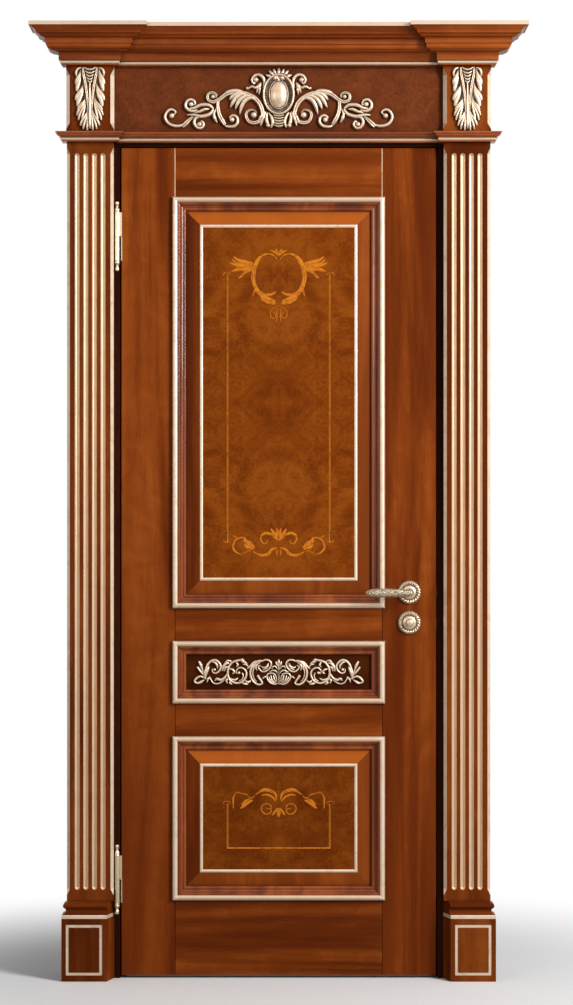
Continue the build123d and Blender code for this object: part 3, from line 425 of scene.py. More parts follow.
def panel_moulding_finish(name, opening, look):
    """Panel moulding whose outer torus is gilded, with painted shade on its gilding along the top and the
    foot.
    """
    graph = Graph(name)
    x, y, z = graph.axes()
    colour, height = walnut_colour(graph, "z", 4.1, tones_of(look, 1.1))
    gilt = 1.0 - moulding_edge(x, z, opening).step(TORUS_WIDTH - SOFT, TORUS_WIDTH + SOFT)
    # Painted shade on the gilding along the top and the foot; the upright sides stay bright
    upright = MOULDING_HALF_WIDTH - TORUS_WIDTH
    painted_gold_shade = 0.7 - abs(x).step(upright - 2 * SOFT, upright) * 0.6
    return varnished_with_gilding(graph, colour, height, gilt, look, 0.01, 0.7, painted_gold_shade=painted_gold_shade)


def back_moulding_finish(name, look):
    """The hidden side's panel mouldings, gilded as on the front."""
    graph = Graph(name)
    x, y, z = graph.axes()
    colour, height = walnut_colour(graph, "z", 6.3, tones_of(look, 1.1))
    rings = [moulding_edge(x, z, opening).within(-SOFT, TORUS_WIDTH, SOFT) for opening in OPENINGS]
    return varnished_with_gilding(graph, colour, height, united(rings), look, 0.01, 0.6)


def pilaster_finish(name, seed, look):
    """Pilaster with gilded flutes and gilded stopped chamfers, and painted shade deep in the flutes."""
    graph = Graph(name)
    colour, height = walnut_colour(graph, "z", seed, tones_of(look, 0.7))
    x, y, z = graph.axes()
    nx, ny, nz = graph.facing()
    inside = abs(x).within(PILASTER_INNER + FLUTE_EDGE, PILASTER_OUTER - FLUTE_EDGE, SOFT)
    # Painted shade: the gold darkens deep in the flutes
    painted_flute_shade = y.step(PILASTER_FACE + 0.002, PILASTER_FACE + 0.007) * inside
    flutes = inside * y.within(PILASTER_FACE + 0.0004, PILASTER_FACE + 0.009, SOFT)
    mask = flutes.most(oblique(nx, ny) * (1.0 - inside))
    return varnished_with_gilding(graph, colour, height, mask, look, 0.004, painted_gold_shade=painted_flute_shade * 0.8 + 0.15)


def capital_finish(name, seed, look):
    """Capital block with gilded stopped chamfers and a gilded return to the frieze."""
    graph = Graph(name)
    colour, height = walnut_colour(graph, "z", seed, tones_of(look, 0.85))
    x, y, z = graph.axes()
    nx, ny, nz = graph.facing()
    cheek = abs(nx).step(0.96, 0.98) * (1.0 - abs(x).step(CAPITAL_CHEEK - 0.005, CAPITAL_CHEEK + 0.005))
    return varnished_with_gilding(graph, colour, height, oblique(nx, ny).most(cheek), look)


def plinth_finish(name, seed, look):
    """Plinth block whose sunk line is gilded."""
    graph = Graph(name)
    colour, height = walnut_colour(graph, "z", seed, tones_of(look, 0.72))
    x, y, z = graph.axes()
    sunk = y.within(PLINTH_FACE + 0.0004, PLINTH_FACE + 0.003, SOFT)
    mask = sunk * abs(x).within(*PLINTH_LINE_ACROSS, SOFT) * z.within(*PLINTH_LINE_HEIGHTS, SOFT)
    return varnished_with_gilding(graph, colour, height, mask, look, 0.003)


def plinth_moulding_finish(name, look):
    """Plinth moulding whose lowest fillet is gilded."""
    graph = Graph(name)
    colour, height = walnut_colour(graph, "x", 8.8, tones_of(look, 0.8))
    x, y, z = graph.axes()
    nx, ny, nz = graph.facing()
    turned = abs(nx).within(0.15, 0.9, 0.05) * abs(ny).within(0.3, 0.97, 0.03)
    mask = (1.0 - z.step(PLINTH_FILLET_TOP - SOFT, PLINTH_FILLET_TOP + SOFT)) * (1.0 - turned)
    return varnished_with_gilding(graph, colour, height, mask, look)


def cornice_finish(name, bands, seed, look, gloss):
    """Cornice with gilded beads at the heights given, their gold darkened by painted shade."""
    graph = Graph(name)
    colour, height = walnut_colour(graph, "x", seed, tones_of(look, 1.25))
    x, y, z = graph.axes()
    under_the_top = 1.0 - z.step(CROWN_TOP - SOFT, CROWN_TOP + SOFT)
    mask = united([z.within(low, high, SOFT) for low, high in bands]) * under_the_top
    # Painted shade: the cornices' gilding is turned towards the shaded gilding colour
    return varnished_with_gilding(graph, colour, height, mask, look, 0.02, gloss, painted_gold_shade=0.6)


def burl_finish(name, seed, tones, look, scale=1.0, join=None, edge_field=None):
    """Burl veneer, framed where a panel has sloping margins of plain walnut.

    The margins carry painted light as they slope: a painted highlight above, a weaker one at the foot and
    the right side, and painted shade on the left side.
    """
    graph = Graph(name)
    colour, height = burl_colour(graph, seed, tones, scale, join)
    if edge_field is not None:
        x, y, z = graph.axes()
        plain, grain = walnut_colour(graph, "z", seed + 2.0, tones_of(look, 0.95))
        low, high = edge_field
        side = abs(x) - FIELD_HALF_WIDTH
        upper = (z - high).least(z - high - side).step(0.0, 2 * SOFT)
        foot = (low - z).least(low - z - side).step(0.0, 2 * SOFT)
        sides = (1.0 - upper) * (1.0 - foot)
        to_the_right = x.step(-0.001, 0.001)
        # Painted highlight on the upper margin, weaker ones at the foot and on the right, painted shade on
        # the left
        plain = graph.mix(upper * 0.75, plain, scaled(look.walnut_light, 1.5))
        plain = graph.mix((foot * 0.4).most(sides * to_the_right * 0.3), plain, look.walnut_light)
        plain = graph.mix(sides * (1.0 - to_the_right) * 0.5, plain, look.walnut_dark)
        inside = (-side).least(z - low).least(high - z).step(-2 * SOFT, 2 * SOFT)
        colour = graph.mix(inside, plain, colour)
        height = height * inside + grain * (1.0 - inside)
    return varnished(graph, colour, height, look, 0.02)


def inlay_finish(name, look, shade=0.0):
    """Light veneer let into the burl, shaded as if scorched in hot sand."""
    graph = Graph(name)
    x, y, z = graph.axes()
    place = graph.vector(abs(x), 0.0, z)
    figure = graph.noise(place, 55.0, 3.0, 0.6, 1.5)
    grain = graph.noise(graph.vector(abs(x) * 40.0, 0.0, z * 260.0), 3.0, 2.0, 0.6)
    colour = graph.mix(figure.step(0.38, 0.7) * 0.7, look.inlay, look.inlay_shade)
    colour = graph.mix(grain.step(0.5, 0.8) * 0.3, colour, look.inlay_shade)
    colour = graph.mix(shade, colour, look.patina_and_shade)
    return graph.finish(colour, grain * 0.1 + 0.3, 0.0, graph.bump(grain, 0.0002, 0.2), 0.06)


def gilt_finish(name, look):
    """Smooth gilding on a straight bead, with painted shade in its recesses."""
    graph = Graph(name)
    gold, roughness = gilding(graph, look)
    open_air = graph.shelter(0.004)
    gold = graph.mix((1.0 - open_air.step(0.2, 0.85)) * 0.7, gold, look.patina_and_shade)
    return graph.finish(gold, roughness, 0.5, None, 0.4)


def carved_gilt_finish(name, look):
    """Antique gilding on carving: bright on the high places, with dark brown patina low in the relief and
    painted shade in the recesses.
    """
    graph = Graph(name)
    gold, roughness = gilding(graph, look)
    relief = graph.attribute("relief")
    # Painted shade where ambient occlusion finds a recess, together with the patina low in the relief
    open_air = graph.shelter(0.008)
    depth = relief.step(0.1, 0.8) * open_air.step(0.35, 0.92)
    stain = graph.noise(graph.place(), 90.0, 3.0, 0.6)
    shade = graph.mix(stain * 0.5, look.patina_and_shade, scaled(look.gilt_shade, 0.3))
    colour = graph.mix(depth.step(0.02, 0.8), shade, gold)
    colour = graph.mix(stain.step(0.4, 0.75) * 0.45, colour, scaled(look.gilt_shade, 0.8))
    normal = graph.bump(graph.noise(graph.place(), 500.0, 2.0), 0.0003, 0.3)
    return graph.finish(colour, roughness + 0.1 * (1.0 - depth), depth * 0.5 + 0.05, normal, 0.25)


def brass_finish(name, look):
    """Polished brass, with painted shade in its recesses and fine rubbing marks."""
    graph = Graph(name)
    place = graph.place()
    cloud = graph.noise(place, 60.0, 3.0, 0.6)
    rub = graph.noise(place, 900.0, 2.0, 0.6)
    open_air = graph.shelter(0.004)
    shade = graph.mix(cloud.step(0.35, 0.75) * 0.5, look.brass, look.gilt_shade)
    shade = graph.mix((1.0 - open_air.step(0.1, 0.85)) * 0.5, shade, look.patina_and_shade)
    return graph.finish(shade, cloud * 0.1 + rub * 0.08 + 0.12, 0.85, graph.bump(rub, 0.0001, 0.2), 0.5)


def rosette_cuts(graph):
    """1 in the cuts of the rosettes' rims and in the groove inside each rim."""
    x, y, z = graph.axes()
    cuts = []
    for middle_x, middle_z in (HANDLE, TURN):
        across, upright = x - middle_x, z - middle_z
        out = (across * across + upright * upright) ** 0.5
        turn = graph.math("ARCTAN2", upright, across)
        wave = (turn * 21.0 + out * 420.0).sine()
        notch = wave.step(0.35, 0.85) * out.within(0.0207, 0.0285, 0.0006)
        groove = out.within(0.0180, 0.0193, 0.0003)
        cuts.append(notch.most(groove) * (1.0 - out.step(0.031, 0.032)))
    return united(cuts)


def cast_finish(name, look, rim=False):
    """Gilt castings with dark stain between their raised scales, or in the cuts of a rosette's rim, and
    painted shade in their recesses.
    """
    graph = Graph(name)
    place = graph.place()
    if rim:
        cuts = rosette_cuts(graph)
    else:
        cuts = 1.0 - graph.cells(place, 230.0, "DISTANCE_TO_EDGE").step(0.03, 0.2)
    cloud = graph.noise(place, 70.0, 3.0, 0.6)
    open_air = graph.shelter(0.004)
    shade = graph.mix(cloud.step(0.35, 0.75) * 0.6, look.antique, look.gilt_shade)
    # Dark stain in the cuts, and painted shade where ambient occlusion finds a recess
    stain = (cuts * 0.9).most(1.0 - open_air.step(0.2, 0.9))
    shade = graph.mix(stain * 0.9, shade, look.patina_and_shade)
    normal = graph.bump(1.0 - cuts, 0.0008, 0.8)
    return graph.finish(shade, cloud * 0.15 + 0.2, 0.75 * (1.0 - stain), normal, 0.5)


def steel_finish(name):
    """Plain steel of screws and lock, brushed in one direction."""
    graph = Graph(name)
    x, y, z = graph.axes()
    brushed = graph.noise(graph.vector(x * 20.0, y * 900.0, z * 900.0), 1.0, 2.0)
    colour = graph.mix(brushed, (0.42, 0.42, 0.42), (0.6, 0.6, 0.59))
    return graph.finish(colour, brushed * 0.2 + 0.28, 0.9, None, 0.5)


def seal_finish(name):
    """Dark brown rubber with a dusty bloom."""
    graph = Graph(name)
    bloom = graph.noise(graph.place(), 80.0, 3.0)
    colour = graph.mix(bloom.step(0.4, 0.7), (0.02, 0.010, 0.006), (0.035, 0.020, 0.014))
    return graph.finish(colour, bloom * 0.15 + 0.6, 0.0, graph.bump(bloom, 0.0002, 0.3), 0.3)


# Mesh helpers


def deselect():
    """Nothing stays selected, so an operator acts only on the new piece."""
    if bpy.context.object is not None and bpy.context.object.mode != "OBJECT":
        bpy.ops.object.mode_set(mode="OBJECT")
    bpy.ops.object.select_all(action="DESELECT")


def sheet_over(name, columns, rows, shape, closed=True):
    """A grid primitive whose points are laid over a surface: shape takes two shares from 0 to 1."""
    deselect()
    bpy.ops.mesh.primitive_grid_add(x_subdivisions=columns, y_subdivisions=rows, size=1.0)
    made = bpy.context.object
    made.name = name
    for point in made.data.vertices:
        point.co = Vector(shape(point.co.x + 0.5, point.co.y + 0.5))
    bpy.ops.object.mode_set(mode="EDIT")
    bpy.ops.mesh.select_all(action="SELECT")
    bpy.ops.mesh.remove_doubles(threshold=0.000002)
    if closed:
        bpy.ops.mesh.normals_make_consistent(inside=False)
    bpy.ops.object.mode_set(mode="OBJECT")
    bpy.ops.object.shade_smooth()
    return made


def settle(made):
    """Puts an object's place into its mesh, and the object at the origin."""
    deselect()
    made.select_set(True)
    bpy.context.view_layer.objects.active = made
    bpy.ops.object.transform_apply(location=True, rotation=True, scale=True)
    return made


def join(name, parts):
    """Several meshes as one piece."""
    deselect()
    for part in parts:
        part.select_set(True)
    bpy.context.view_layer.objects.active = parts[0]
    if len(parts) > 1:
        bpy.ops.object.join()
    made = bpy.context.object
    made.name = name
    made.data.name = name
    return settle(made)


def copy_of(made, name, change):
    """A copy with its own mesh, each point moved by a function."""
    deselect()
    made.select_set(True)
    bpy.context.view_layer.objects.active = made
    bpy.ops.object.duplicate()
    twin = bpy.context.object
    twin.name = name
    twin.data.name = name
    for point in twin.data.vertices:
        point.co = Vector(change(*point.co))
    bpy.ops.object.mode_set(mode="EDIT")
    bpy.ops.mesh.select_all(action="SELECT")
    bpy.ops.mesh.normals_make_consistent(inside=False)
    bpy.ops.object.mode_set(mode="OBJECT")
    return twin


def paint_relief(made, face, thickness):
    """Stores how far each point stands out of its ground, from 0 to 1."""
    layer = made.data.attributes.new("relief", "FLOAT", "POINT")
    values = [min(1.0, max(0.0, (face - point.co.y) / thickness)) for point in made.data.vertices]
    layer.data.foreach_set("value", values)


def dress(made, material, body, slot, *nodes):
    """Gives a new piece its material, its body and the CAD nodes it stands for."""
    made.data.materials.clear()
    made.data.materials.append(material)
    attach(made, body)
    if nodes:
        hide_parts(*nodes)
    return made


# Carving: every stem, volute and leaf finger is a tapering stroke on a curved line


def smooth_line(points, widths, steps=5):
    """Places and widths along a smooth line that passes through the given points."""
    line = []
    last = len(points) - 1
    for index in range(last):
        before = points[max(index - 1, 0)]
        after = points[min(index + 2, last)]
        for step in range(steps + (index == last - 1)):
            t = step / steps
            place = []
            for b, s, e, a in zip(before, points[index], points[index + 1], after):
                slope, bend, twist = e - b, 2 * b - 5 * s + 4 * e - a, 3 * s - b - 3 * e + a
                place.append(0.5 * (2 * s + slope * t + bend * t**2 + twist * t**3))
            share = (index + t) / last * (len(widths) - 1)
            low = min(int(share), len(widths) - 2)
            line.append((*place, widths[low] + (widths[low + 1] - widths[low]) * (share - low)))
    return line


def stroke(points, widths, face, lift, rise, aside=0.0, share=1.0):
    """One carved stroke in millimetres: a smooth ridge, lower and narrower towards its ends."""
    line = smooth_line(points, widths)
    widest = max(width for x, z, width in line) * share
    flatten = 2 * rise / widest
    curve = bpy.data.curves.new("stroke", "CURVE")
    curve.dimensions = "3D"
    curve.bevel_depth = 0.0005
    curve.bevel_resolution = 3
    curve.use_fill_caps = True
    spline = curve.splines.new("POLY")
    spline.points.add(len(line) - 1)
    for index, (x, z, width) in enumerate(line):
        ahead, behind = line[min(index + 1, len(line) - 1)], line[max(index - 1, 0)]
        dx, dz = ahead[0] - behind[0], ahead[1] - behind[1]
        length = max(hypot(dx, dz), 0.001)
        out = width * aside
        height = lift * (width * share / widest) ** 0.5
        place = ((x - dz / length * out) / 1000, -height / flatten / 1000, (z + dx / length * out) / 1000)
        spline.points[index].co = (*place, 1.0)
        spline.points[index].radius = max(width * share, 0.3)
    made = bpy.data.objects.new("stroke", curve)
    bpy.context.scene.collection.objects.link(made)
    deselect()
    made.select_set(True)
    bpy.context.view_layer.objects.active = made
    bpy.ops.object.convert(target="MESH")
    made = bpy.context.object
    for point in made.data.vertices:
        point.co.y = face + point.co.y * flatten
    bpy.ops.object.shade_smooth()
    return made


def band(points, widths, face, lift, rise):
    """A moulded stem: two ridges side by side with a groove between them."""
    return [
        stroke(points, widths, face, lift, rise, 0.23, 0.56),
        stroke(points, widths, face, lift, rise * 0.92, -0.23, 0.56),
    ]


def ball(centre, radius, face, lift, rise):
    """A round boss, flattened towards its ground."""
    def shape(u, v):
        turn = 2 * pi * u
        up = pi * v
        reach = radius * sin(up)
        return (
            (centre[0] + reach * cos(turn)) / 1000,
            face - (lift - rise * cos(up)) / 1000,
            (centre[1] + reach * sin(turn)) / 1000,
        )
    return sheet_over("boss", 13, 8, shape)


def mirrored_pair(name, half, centre_parts=()):
    """Right half, its mirror image and what lies on the middle, as one piece."""
    right = join(name + "_half", half)
    left = copy_of(right, name + "_other", lambda x, y, z: (-x, y, z))
    return join(name, [right, left, *centre_parts])


def cartouche_right(face):
    """Right half of the frieze's scrollwork, in millimetres from the medallion's middle."""
    arm = [
        (56, -47), (65, -39), (78, -42), (83, -53), (76, -68), (62, -72), (46, -66), (40, -50), (45, -30),
        (56, -14), (72, -3), (90, 3), (110, 5), (132, 1), (150, -12), (166, -19), (179, -13), (179, 0),
        (168, 5), (158, -1), (161, -9),
    ]
    parts = band(arm, (4.5, 6, 8, 9.5, 10.5, 11.5, 11.5, 10.5, 9, 7.5, 6.5, 5), face, 4, 6)
    parts += [ball((63, -52), 7.6, face, 4, 6), ball((167, -6), 5.6, face, 4, 6)]
    lobes = [
        [(46, -30), (54, -16), (68, -8), (84, -14), (94, -30), (99, -50)],
        [(50, -22), (62, -8), (80, -3), (96, -11), (105, -24), (110, -37)],
        [(56, -14), (74, -2), (92, 1), (106, -6), (116, -20), (123, -33)],
        [(64, -8), (84, 3), (104, 3), (117, -5), (125, -14)],
        [(76, -2), (98, 8), (118, 8), (137, 4)],
    ]
    for lobe in lobes:
        parts.append(stroke(lobe, (3, 6, 10, 11.5, 10, 3), face, 6, 5))
    leaf = [(146, -4), (153, -16), (154, -34), (150, -52), (143, -66), (136, -77)]
    parts += band(leaf, (4, 7, 9, 10, 11, 7), face, 4, 6)
    curls = [
        ([(136, -79), (126, -82), (112, -80), (104, -70), (106, -58), (116, -53), (124, -59)], (118, -64)),
        ([(206, -40), (222, -42), (234, -34), (235, -22), (226, -13), (215, -16), (212, -26)], (222, -25)),
        ([(196, -56), (210, -60), (214, -72), (207, -84), (196, -85), (190, -76), (195, -68)], (201, -76)),
        ([(236, -72), (248, -79), (264, -80), (280, -73), (288, -58), (283, -44), (272, -38), (261, -45)],
         (271, -54)),
        ([(39, 16), (36, 30), (40, 43), (50, 50), (62, 47), (68, 36), (62, 27)], (58, 37)),
    ]
    for line, eye in curls:
        parts.append(stroke([*line, eye], (5, 8, 8.5, 8, 7.5, 7, 5.5, 4), face, 4, 5.5))
        parts.append(ball(eye, 6.6, face, 4, 5.5))
    leaves = [
        ([(158, -34), (164, -48), (162, -60), (156, -72)], (2.5, 6, 8, 2.5)),
        ([(166, -36), (178, -27), (198, -27), (213, -34), (232, -37)], (5, 8, 8, 7, 3)),
        ([(166, -38), (175, -50), (196, -56), (215, -52), (233, -52)], (5, 8, 8, 7, 3)),
        ([(176, -37), (188, -38), (202, -44), (216, -46)], (3, 7, 6, 2.5)),
        ([(44, 30), (50, 20), (56, 4)], (3, 10, 3)),
        ([(48, 26), (58, 17), (68, 20), (79, 14)], (3, 6, 5.5, 3.5)),
        ([(46, 22), (48, 12), (50, 0)], (2.5, 6, 2.5)),
        ([(25, -46), (18, -58), (15, -72), (20, -84)], (4, 7, 8, 4)),
        ([(29, -46), (31, -60), (29, -72), (24, -82)], (4, 7, 8, 4)),
        ([(33, -44), (39, -58), (46, -79)], (4, 8, 3.5)),
        ([(37, -44), (46, -58), (54, -75)], (3, 7, 3)),
        ([(4, 46), (10, 56), (13, 64)], (4, 8, 3.5)),
        ([(8, 44), (18, 53), (24, 60)], (4, 8, 3.5)),
        ([(12, 42), (24, 46), (32, 50)], (4, 8, 3.5)),
        ([(1, 34), (3, 43), (9, 48), (15, 44), (13, 37)], (4, 5, 5, 4)),
    ]
    for line, widths in leaves:
        parts.append(stroke(line, [width * 1.15 for width in widths], face, 5, 5.5))
    bosses = (((80, 16), 4, 3, 4), ((27, -79), 5.4, 6, 6), ((9, 41), 5, 10, 5))
    parts += [ball(centre, radius, face, lift, rise) for centre, radius, lift, rise in bosses]
    parts += band([(214, -54), (226, -64), (236, -74), (244, -82)], (5, 9, 12, 8), face, 4, 6)
    return parts


def ring(width, height, thick, face, lift, rise, beads=0):
    """An oval ring, smooth or made of beads."""
    if beads:
        made = []
        for index in range(beads):
            angle = 2 * pi * index / beads
            made.append(ball((width / 2 * cos(angle), height / 2 * sin(angle)), thick, face, lift, rise))
        return made

    def shape(u, v):
        turn, round_it = 2 * pi * u, 2 * pi * v
        reach = thick * cos(round_it)
        return (
            (width / 2 + reach) * cos(turn) / 1000,
            face - (lift + rise * sin(round_it)) / 1000,
            (height / 2 + reach) * sin(turn) / 1000,
        )
    return [sheet_over("ring", 49, 11, shape)]


def medallion(face):
    """Oval medallion: a dark dished ground, a rim, a ring of beads, a domed stone, neck and crest."""
    def ground(u, v):
        turn = 2 * pi * u
        share = min(1, v / 0.9)
        height = 3 if v < 0.95 else -1
        return (38 * share * cos(turn) / 1000, face - height / 1000, 50 * share * sin(turn) / 1000)

    def stone(u, v):
        turn, up = 2 * pi * u, pi / 2 * v
        return (22.5 * sin(up) * cos(turn) / 1000, face - (2.5 + 13 * cos(up)) / 1000,
                35 * sin(up) * sin(turn) / 1000)
    parts = [sheet_over("ground", 41, 12, ground), sheet_over("stone", 41, 14, stone)]
    parts += ring(76, 99, 3.0, face, 8, 6)
    parts += ring(66, 88, 1.5, face, 5.5, 2.4, 44)
    parts += ring(47.5, 72.5, 1.3, face, 4.5, 2.5)
    for index in range(5):
        half = 13 - index * 0.5
        z = -53.5 - index * 6.6
        parts.append(stroke([(-half, z + 1.5), (0, z - 1.5), (half, z + 1.5)], (4.6, 5.4, 4.6), face, 6, 5))
    parts.append(stroke([(0, 44), (0, 56), (0, 66)], (5, 10, 4), face, 7, 6))
    return parts


def capital_leaf(face):
    """Right half of the acanthus on a capital, in millimetres from its middle."""
    tiers = [
        ((21, 79), 12, [(35, 36), (33, 19)]),
        ((14, 42), 12, [(35, -4), (31, -19)]),
        ((9, 6), 6.8, [(31, -29), (33, -42), (29, -54), (20, -57)]),
        ((4, -24), 6.8, [(24, -68), (17, -77), (7, -80)]),
    ]
    parts = []
    for level, (root, broad, tips) in enumerate(tiers):
        for tip in tips:
            out, drop = tip[0] - root[0], root[1] - tip[1]
            bend = (root[0] + out * 0.3, root[1] - drop * 0.38)
            swing = (root[0] + out * 0.8, root[1] - drop * 0.74)
            widths = [broad * share for share in (0.3, 0.65, 1.0, 1.0, 0.65)]
            parts.append(stroke([root, bend, swing, tip], widths, face, 2.5 + level * 0.9, 5))
    hook = [(22, 79), (31, 75), (35, 66), (34, 56)]
    parts.append(stroke(hook, (4, 7, 7, 4), face, 3, 4.5))
    stem = [(17, 79), (16, 62), (12, 42), (8, 16), (5, -14), (3, -44), (2, -70)]
    parts += band(stem, (4, 7, 7, 6, 5, 4), face, 6, 6)
    return parts


def capital_middle(face):
    """Midrib, nested bands and ground of the acanthus."""
    parts = []
    for half, z in ((14, 77), (12, 68), (10, 60), (8, 52), (6, 45)):
        bow = [(-half, z + 3), (-half * 0.55, z - 2), (0, z - 3.5), (half * 0.55, z - 2), (half, z + 3)]
        parts.append(stroke(bow, (3, 5, 5.6, 5, 3), face, 5, 5))
    parts.append(stroke([(0, 42), (0, 10), (0, -30), (0, -64), (0, -76)], (4, 6, 7, 7.5, 4), face, 7, 6.5))

    def ground(u, v):
        turn = 2 * pi * u
        z = 80 * sin(turn)
        half = 29 if z > -30 else 29 - 0.2 * (-30 - z)
        return (half * cos(turn) * v / 1000, face - (4.5 * cos(pi / 2 * v) - 0.5) / 1000, z * v / 1000)
    parts.append(sheet_over("ground", 41, 10, ground))
    return parts


def middle_right(face):
    """Right half of the middle panel's carving, in millimetres from its middle."""
    lines = [
        ([(0, -31), (0, -10), (0, 10), (0, 22)], (4.5, 5, 5, 3)),
        ([(0, 14), (0, 24), (0, 32)], (3, 8, 4)),
        ([(1, 14), (5, 20), (7, 27)], (3, 5.5, 3)),
        ([(2, -28), (9, -31), (18, -29), (26, -22), (30, -12), (27, -5), (18, -3),
          (10, -6), (6, -14), (5, -24)], (3, 4.5, 5, 5, 4.5, 4, 3)),
        ([(6, -26), (11, -18), (13, -8)], (2.5, 5, 3)),
        ([(8, -28), (17, -20), (20, -8)], (2.5, 5, 3)),
        ([(12, -28), (22, -20), (25, -12)], (2.5, 4.5, 3)),
        ([(3, -4), (8, 3), (16, 4), (24, 0)], (2.5, 4.5, 4.5, 2.5)),
        ([(2, 6), (8, 14), (14, 14), (18, 8)], (2.5, 4.5, 4.5, 2.5)),
        ([(29, -15), (35, -12), (41, -17)], (3, 5, 3)),
        ([(56, -25), (63, -16), (66, -4), (64, 8), (58, 17)], (2, 3.6, 3.6, 2)),
        ([(46, 26), (56, 18), (58, 10), (55, 4)], (3, 6, 6, 2.5)),
        ([(54, 24), (63, 14), (63, 6)], (3, 6, 2.5)),
        ([(58, 24), (70, 16), (80, 8)], (3, 7, 3)),
        ([(50, 28), (62, 25), (75, 14)], (3, 7, 3)),
        ([(44, 27), (34, 31), (24, 29), (19, 21), (22, 11), (31, 3), (41, 1), (49, 7), (52, 14), (46, 17)],
         (4, 5.5, 5.5, 5, 5, 4.5, 4, 3)),
        ([(26, 22), (30, 14), (38, 11), (44, 14)], (3, 6, 5, 2.5)),
        ([(25, 17), (32, 9), (40, 6)], (2.5, 4.5, 2.5)),
        ([(93, -2), (90, -9), (93, -18), (101, -23)], (3, 4, 4, 2.5)),
        ([(90, 20), (83, 19), (77, 14)], (4, 5, 2.5)),
        ([(94, 26), (86, 25), (80, 21)], (4, 5.5, 2.5)),
        ([(102, 28), (93, 32), (87, 29)], (4, 5.5, 2.5)),
        ([(108, 25), (104, 18), (108, 13)], (4, 6, 3)),
        ([(125, 8), (117, 6), (112, -1), (118, -4)], (3, 6, 5, 2.5)),
        ([(126, 22), (134, 22), (141, 12), (143, 2)], (4, 8, 8, 3)),
        ([(128, 14), (135, 11), (138, 2)], (3, 6, 3)),
        ([(120, 27), (130, 29), (137, 22)], (3, 6, 3)),
        ([(104, -16), (112, -20), (122, -18), (130, -12)], (3, 6, 6, 3)),
        ([(126, -14), (133, -21), (130, -29)], (3, 7, 3)),
        ([(122, -20), (124, -28), (118, -31)], (3, 6, 3)),
        ([(86, -20), (79, -26), (71, -22)], (3, 7, 3)),
        ([(94, -27), (86, -30), (78, -31)], (3, 7, 3)),
        ([(131, -5), (137, -14), (147, -20), (157, -17), (162, -22)], (4, 6, 7, 6.5, 3)),
        ([(138, -20), (148, -27), (158, -30), (167, -27), (173, -18), (176, -11)],
         (2.5, 4, 4, 4, 3.5, 2.5)),
        ([(174, -13), (180, -18), (182, -26)], (3, 6, 3)),
        ([(173, 27), (162, 24), (156, 16), (156, 8)], (3, 6, 6, 2.5)),
        ([(187, -14), (184, -2), (180, 8), (178, 15)], (4, 8, 7, 2.5)),
        ([(190, -8), (194, 6), (198, 18), (203, 27)], (3, 5, 8, 5)),
        ([(190, -8), (199, 2), (207, 13)], (3, 6, 5)),
        ([(188, -16), (198, -11), (208, -15), (214, -24), (206, -28), (196, -22)],
         (3, 5.5, 6, 5.5, 4.5, 3)),
        ([(190, -20), (198, -26), (207, -30)], (3, 6, 3)),
    ]
    scrolls = [
        ([(53, -10), (49, -16), (44, -23), (42, -29), (50, -32), (60, -28), (69, -17), (72, -4),
          (70, 8), (63, 19), (53, 27), (42, 28)], (7, 6, 5, 5, 5.5, 6, 6, 6, 6.5, 7, 6), (52, -11)),
        ([(78, 13), (86, 24), (95, 30), (106, 29), (117, 25), (125, 16), (129, 4), (129, -8),
          (124, -20), (115, -26), (103, -28), (92, -24), (84, -14), (82, -3), (86, 6), (95, 11),
          (103, 9), (108, 2), (105, -5)],
         (3, 5.5, 6, 6, 6, 6, 6, 6, 5.5, 5, 4, 3), (101, -2)),
        ([(186, -18), (188, -6), (184, 9), (179, 21), (170, 29), (160, 30), (151, 23), (147, 13),
          (151, 3), (160, -3), (168, 0), (169, 8)], (5, 7, 6.5, 6, 6, 6, 5.5, 5, 4, 3), (163, 6)),
    ]
    parts = [stroke(line, widths, face, 3.2, 4) for line, widths in lines]
    for line, widths, eye in scrolls:
        parts.append(stroke(line, widths, face, 3.4, 4))
        parts.append(ball(eye, 3.9, face, 3.5, 3.8))
    return parts


def flat_stroke(points, widths, proud):
    """A strip of veneer, level with the field but for a hair."""
    return stroke(points, widths, FIELD_FACE, 0.04, proud)


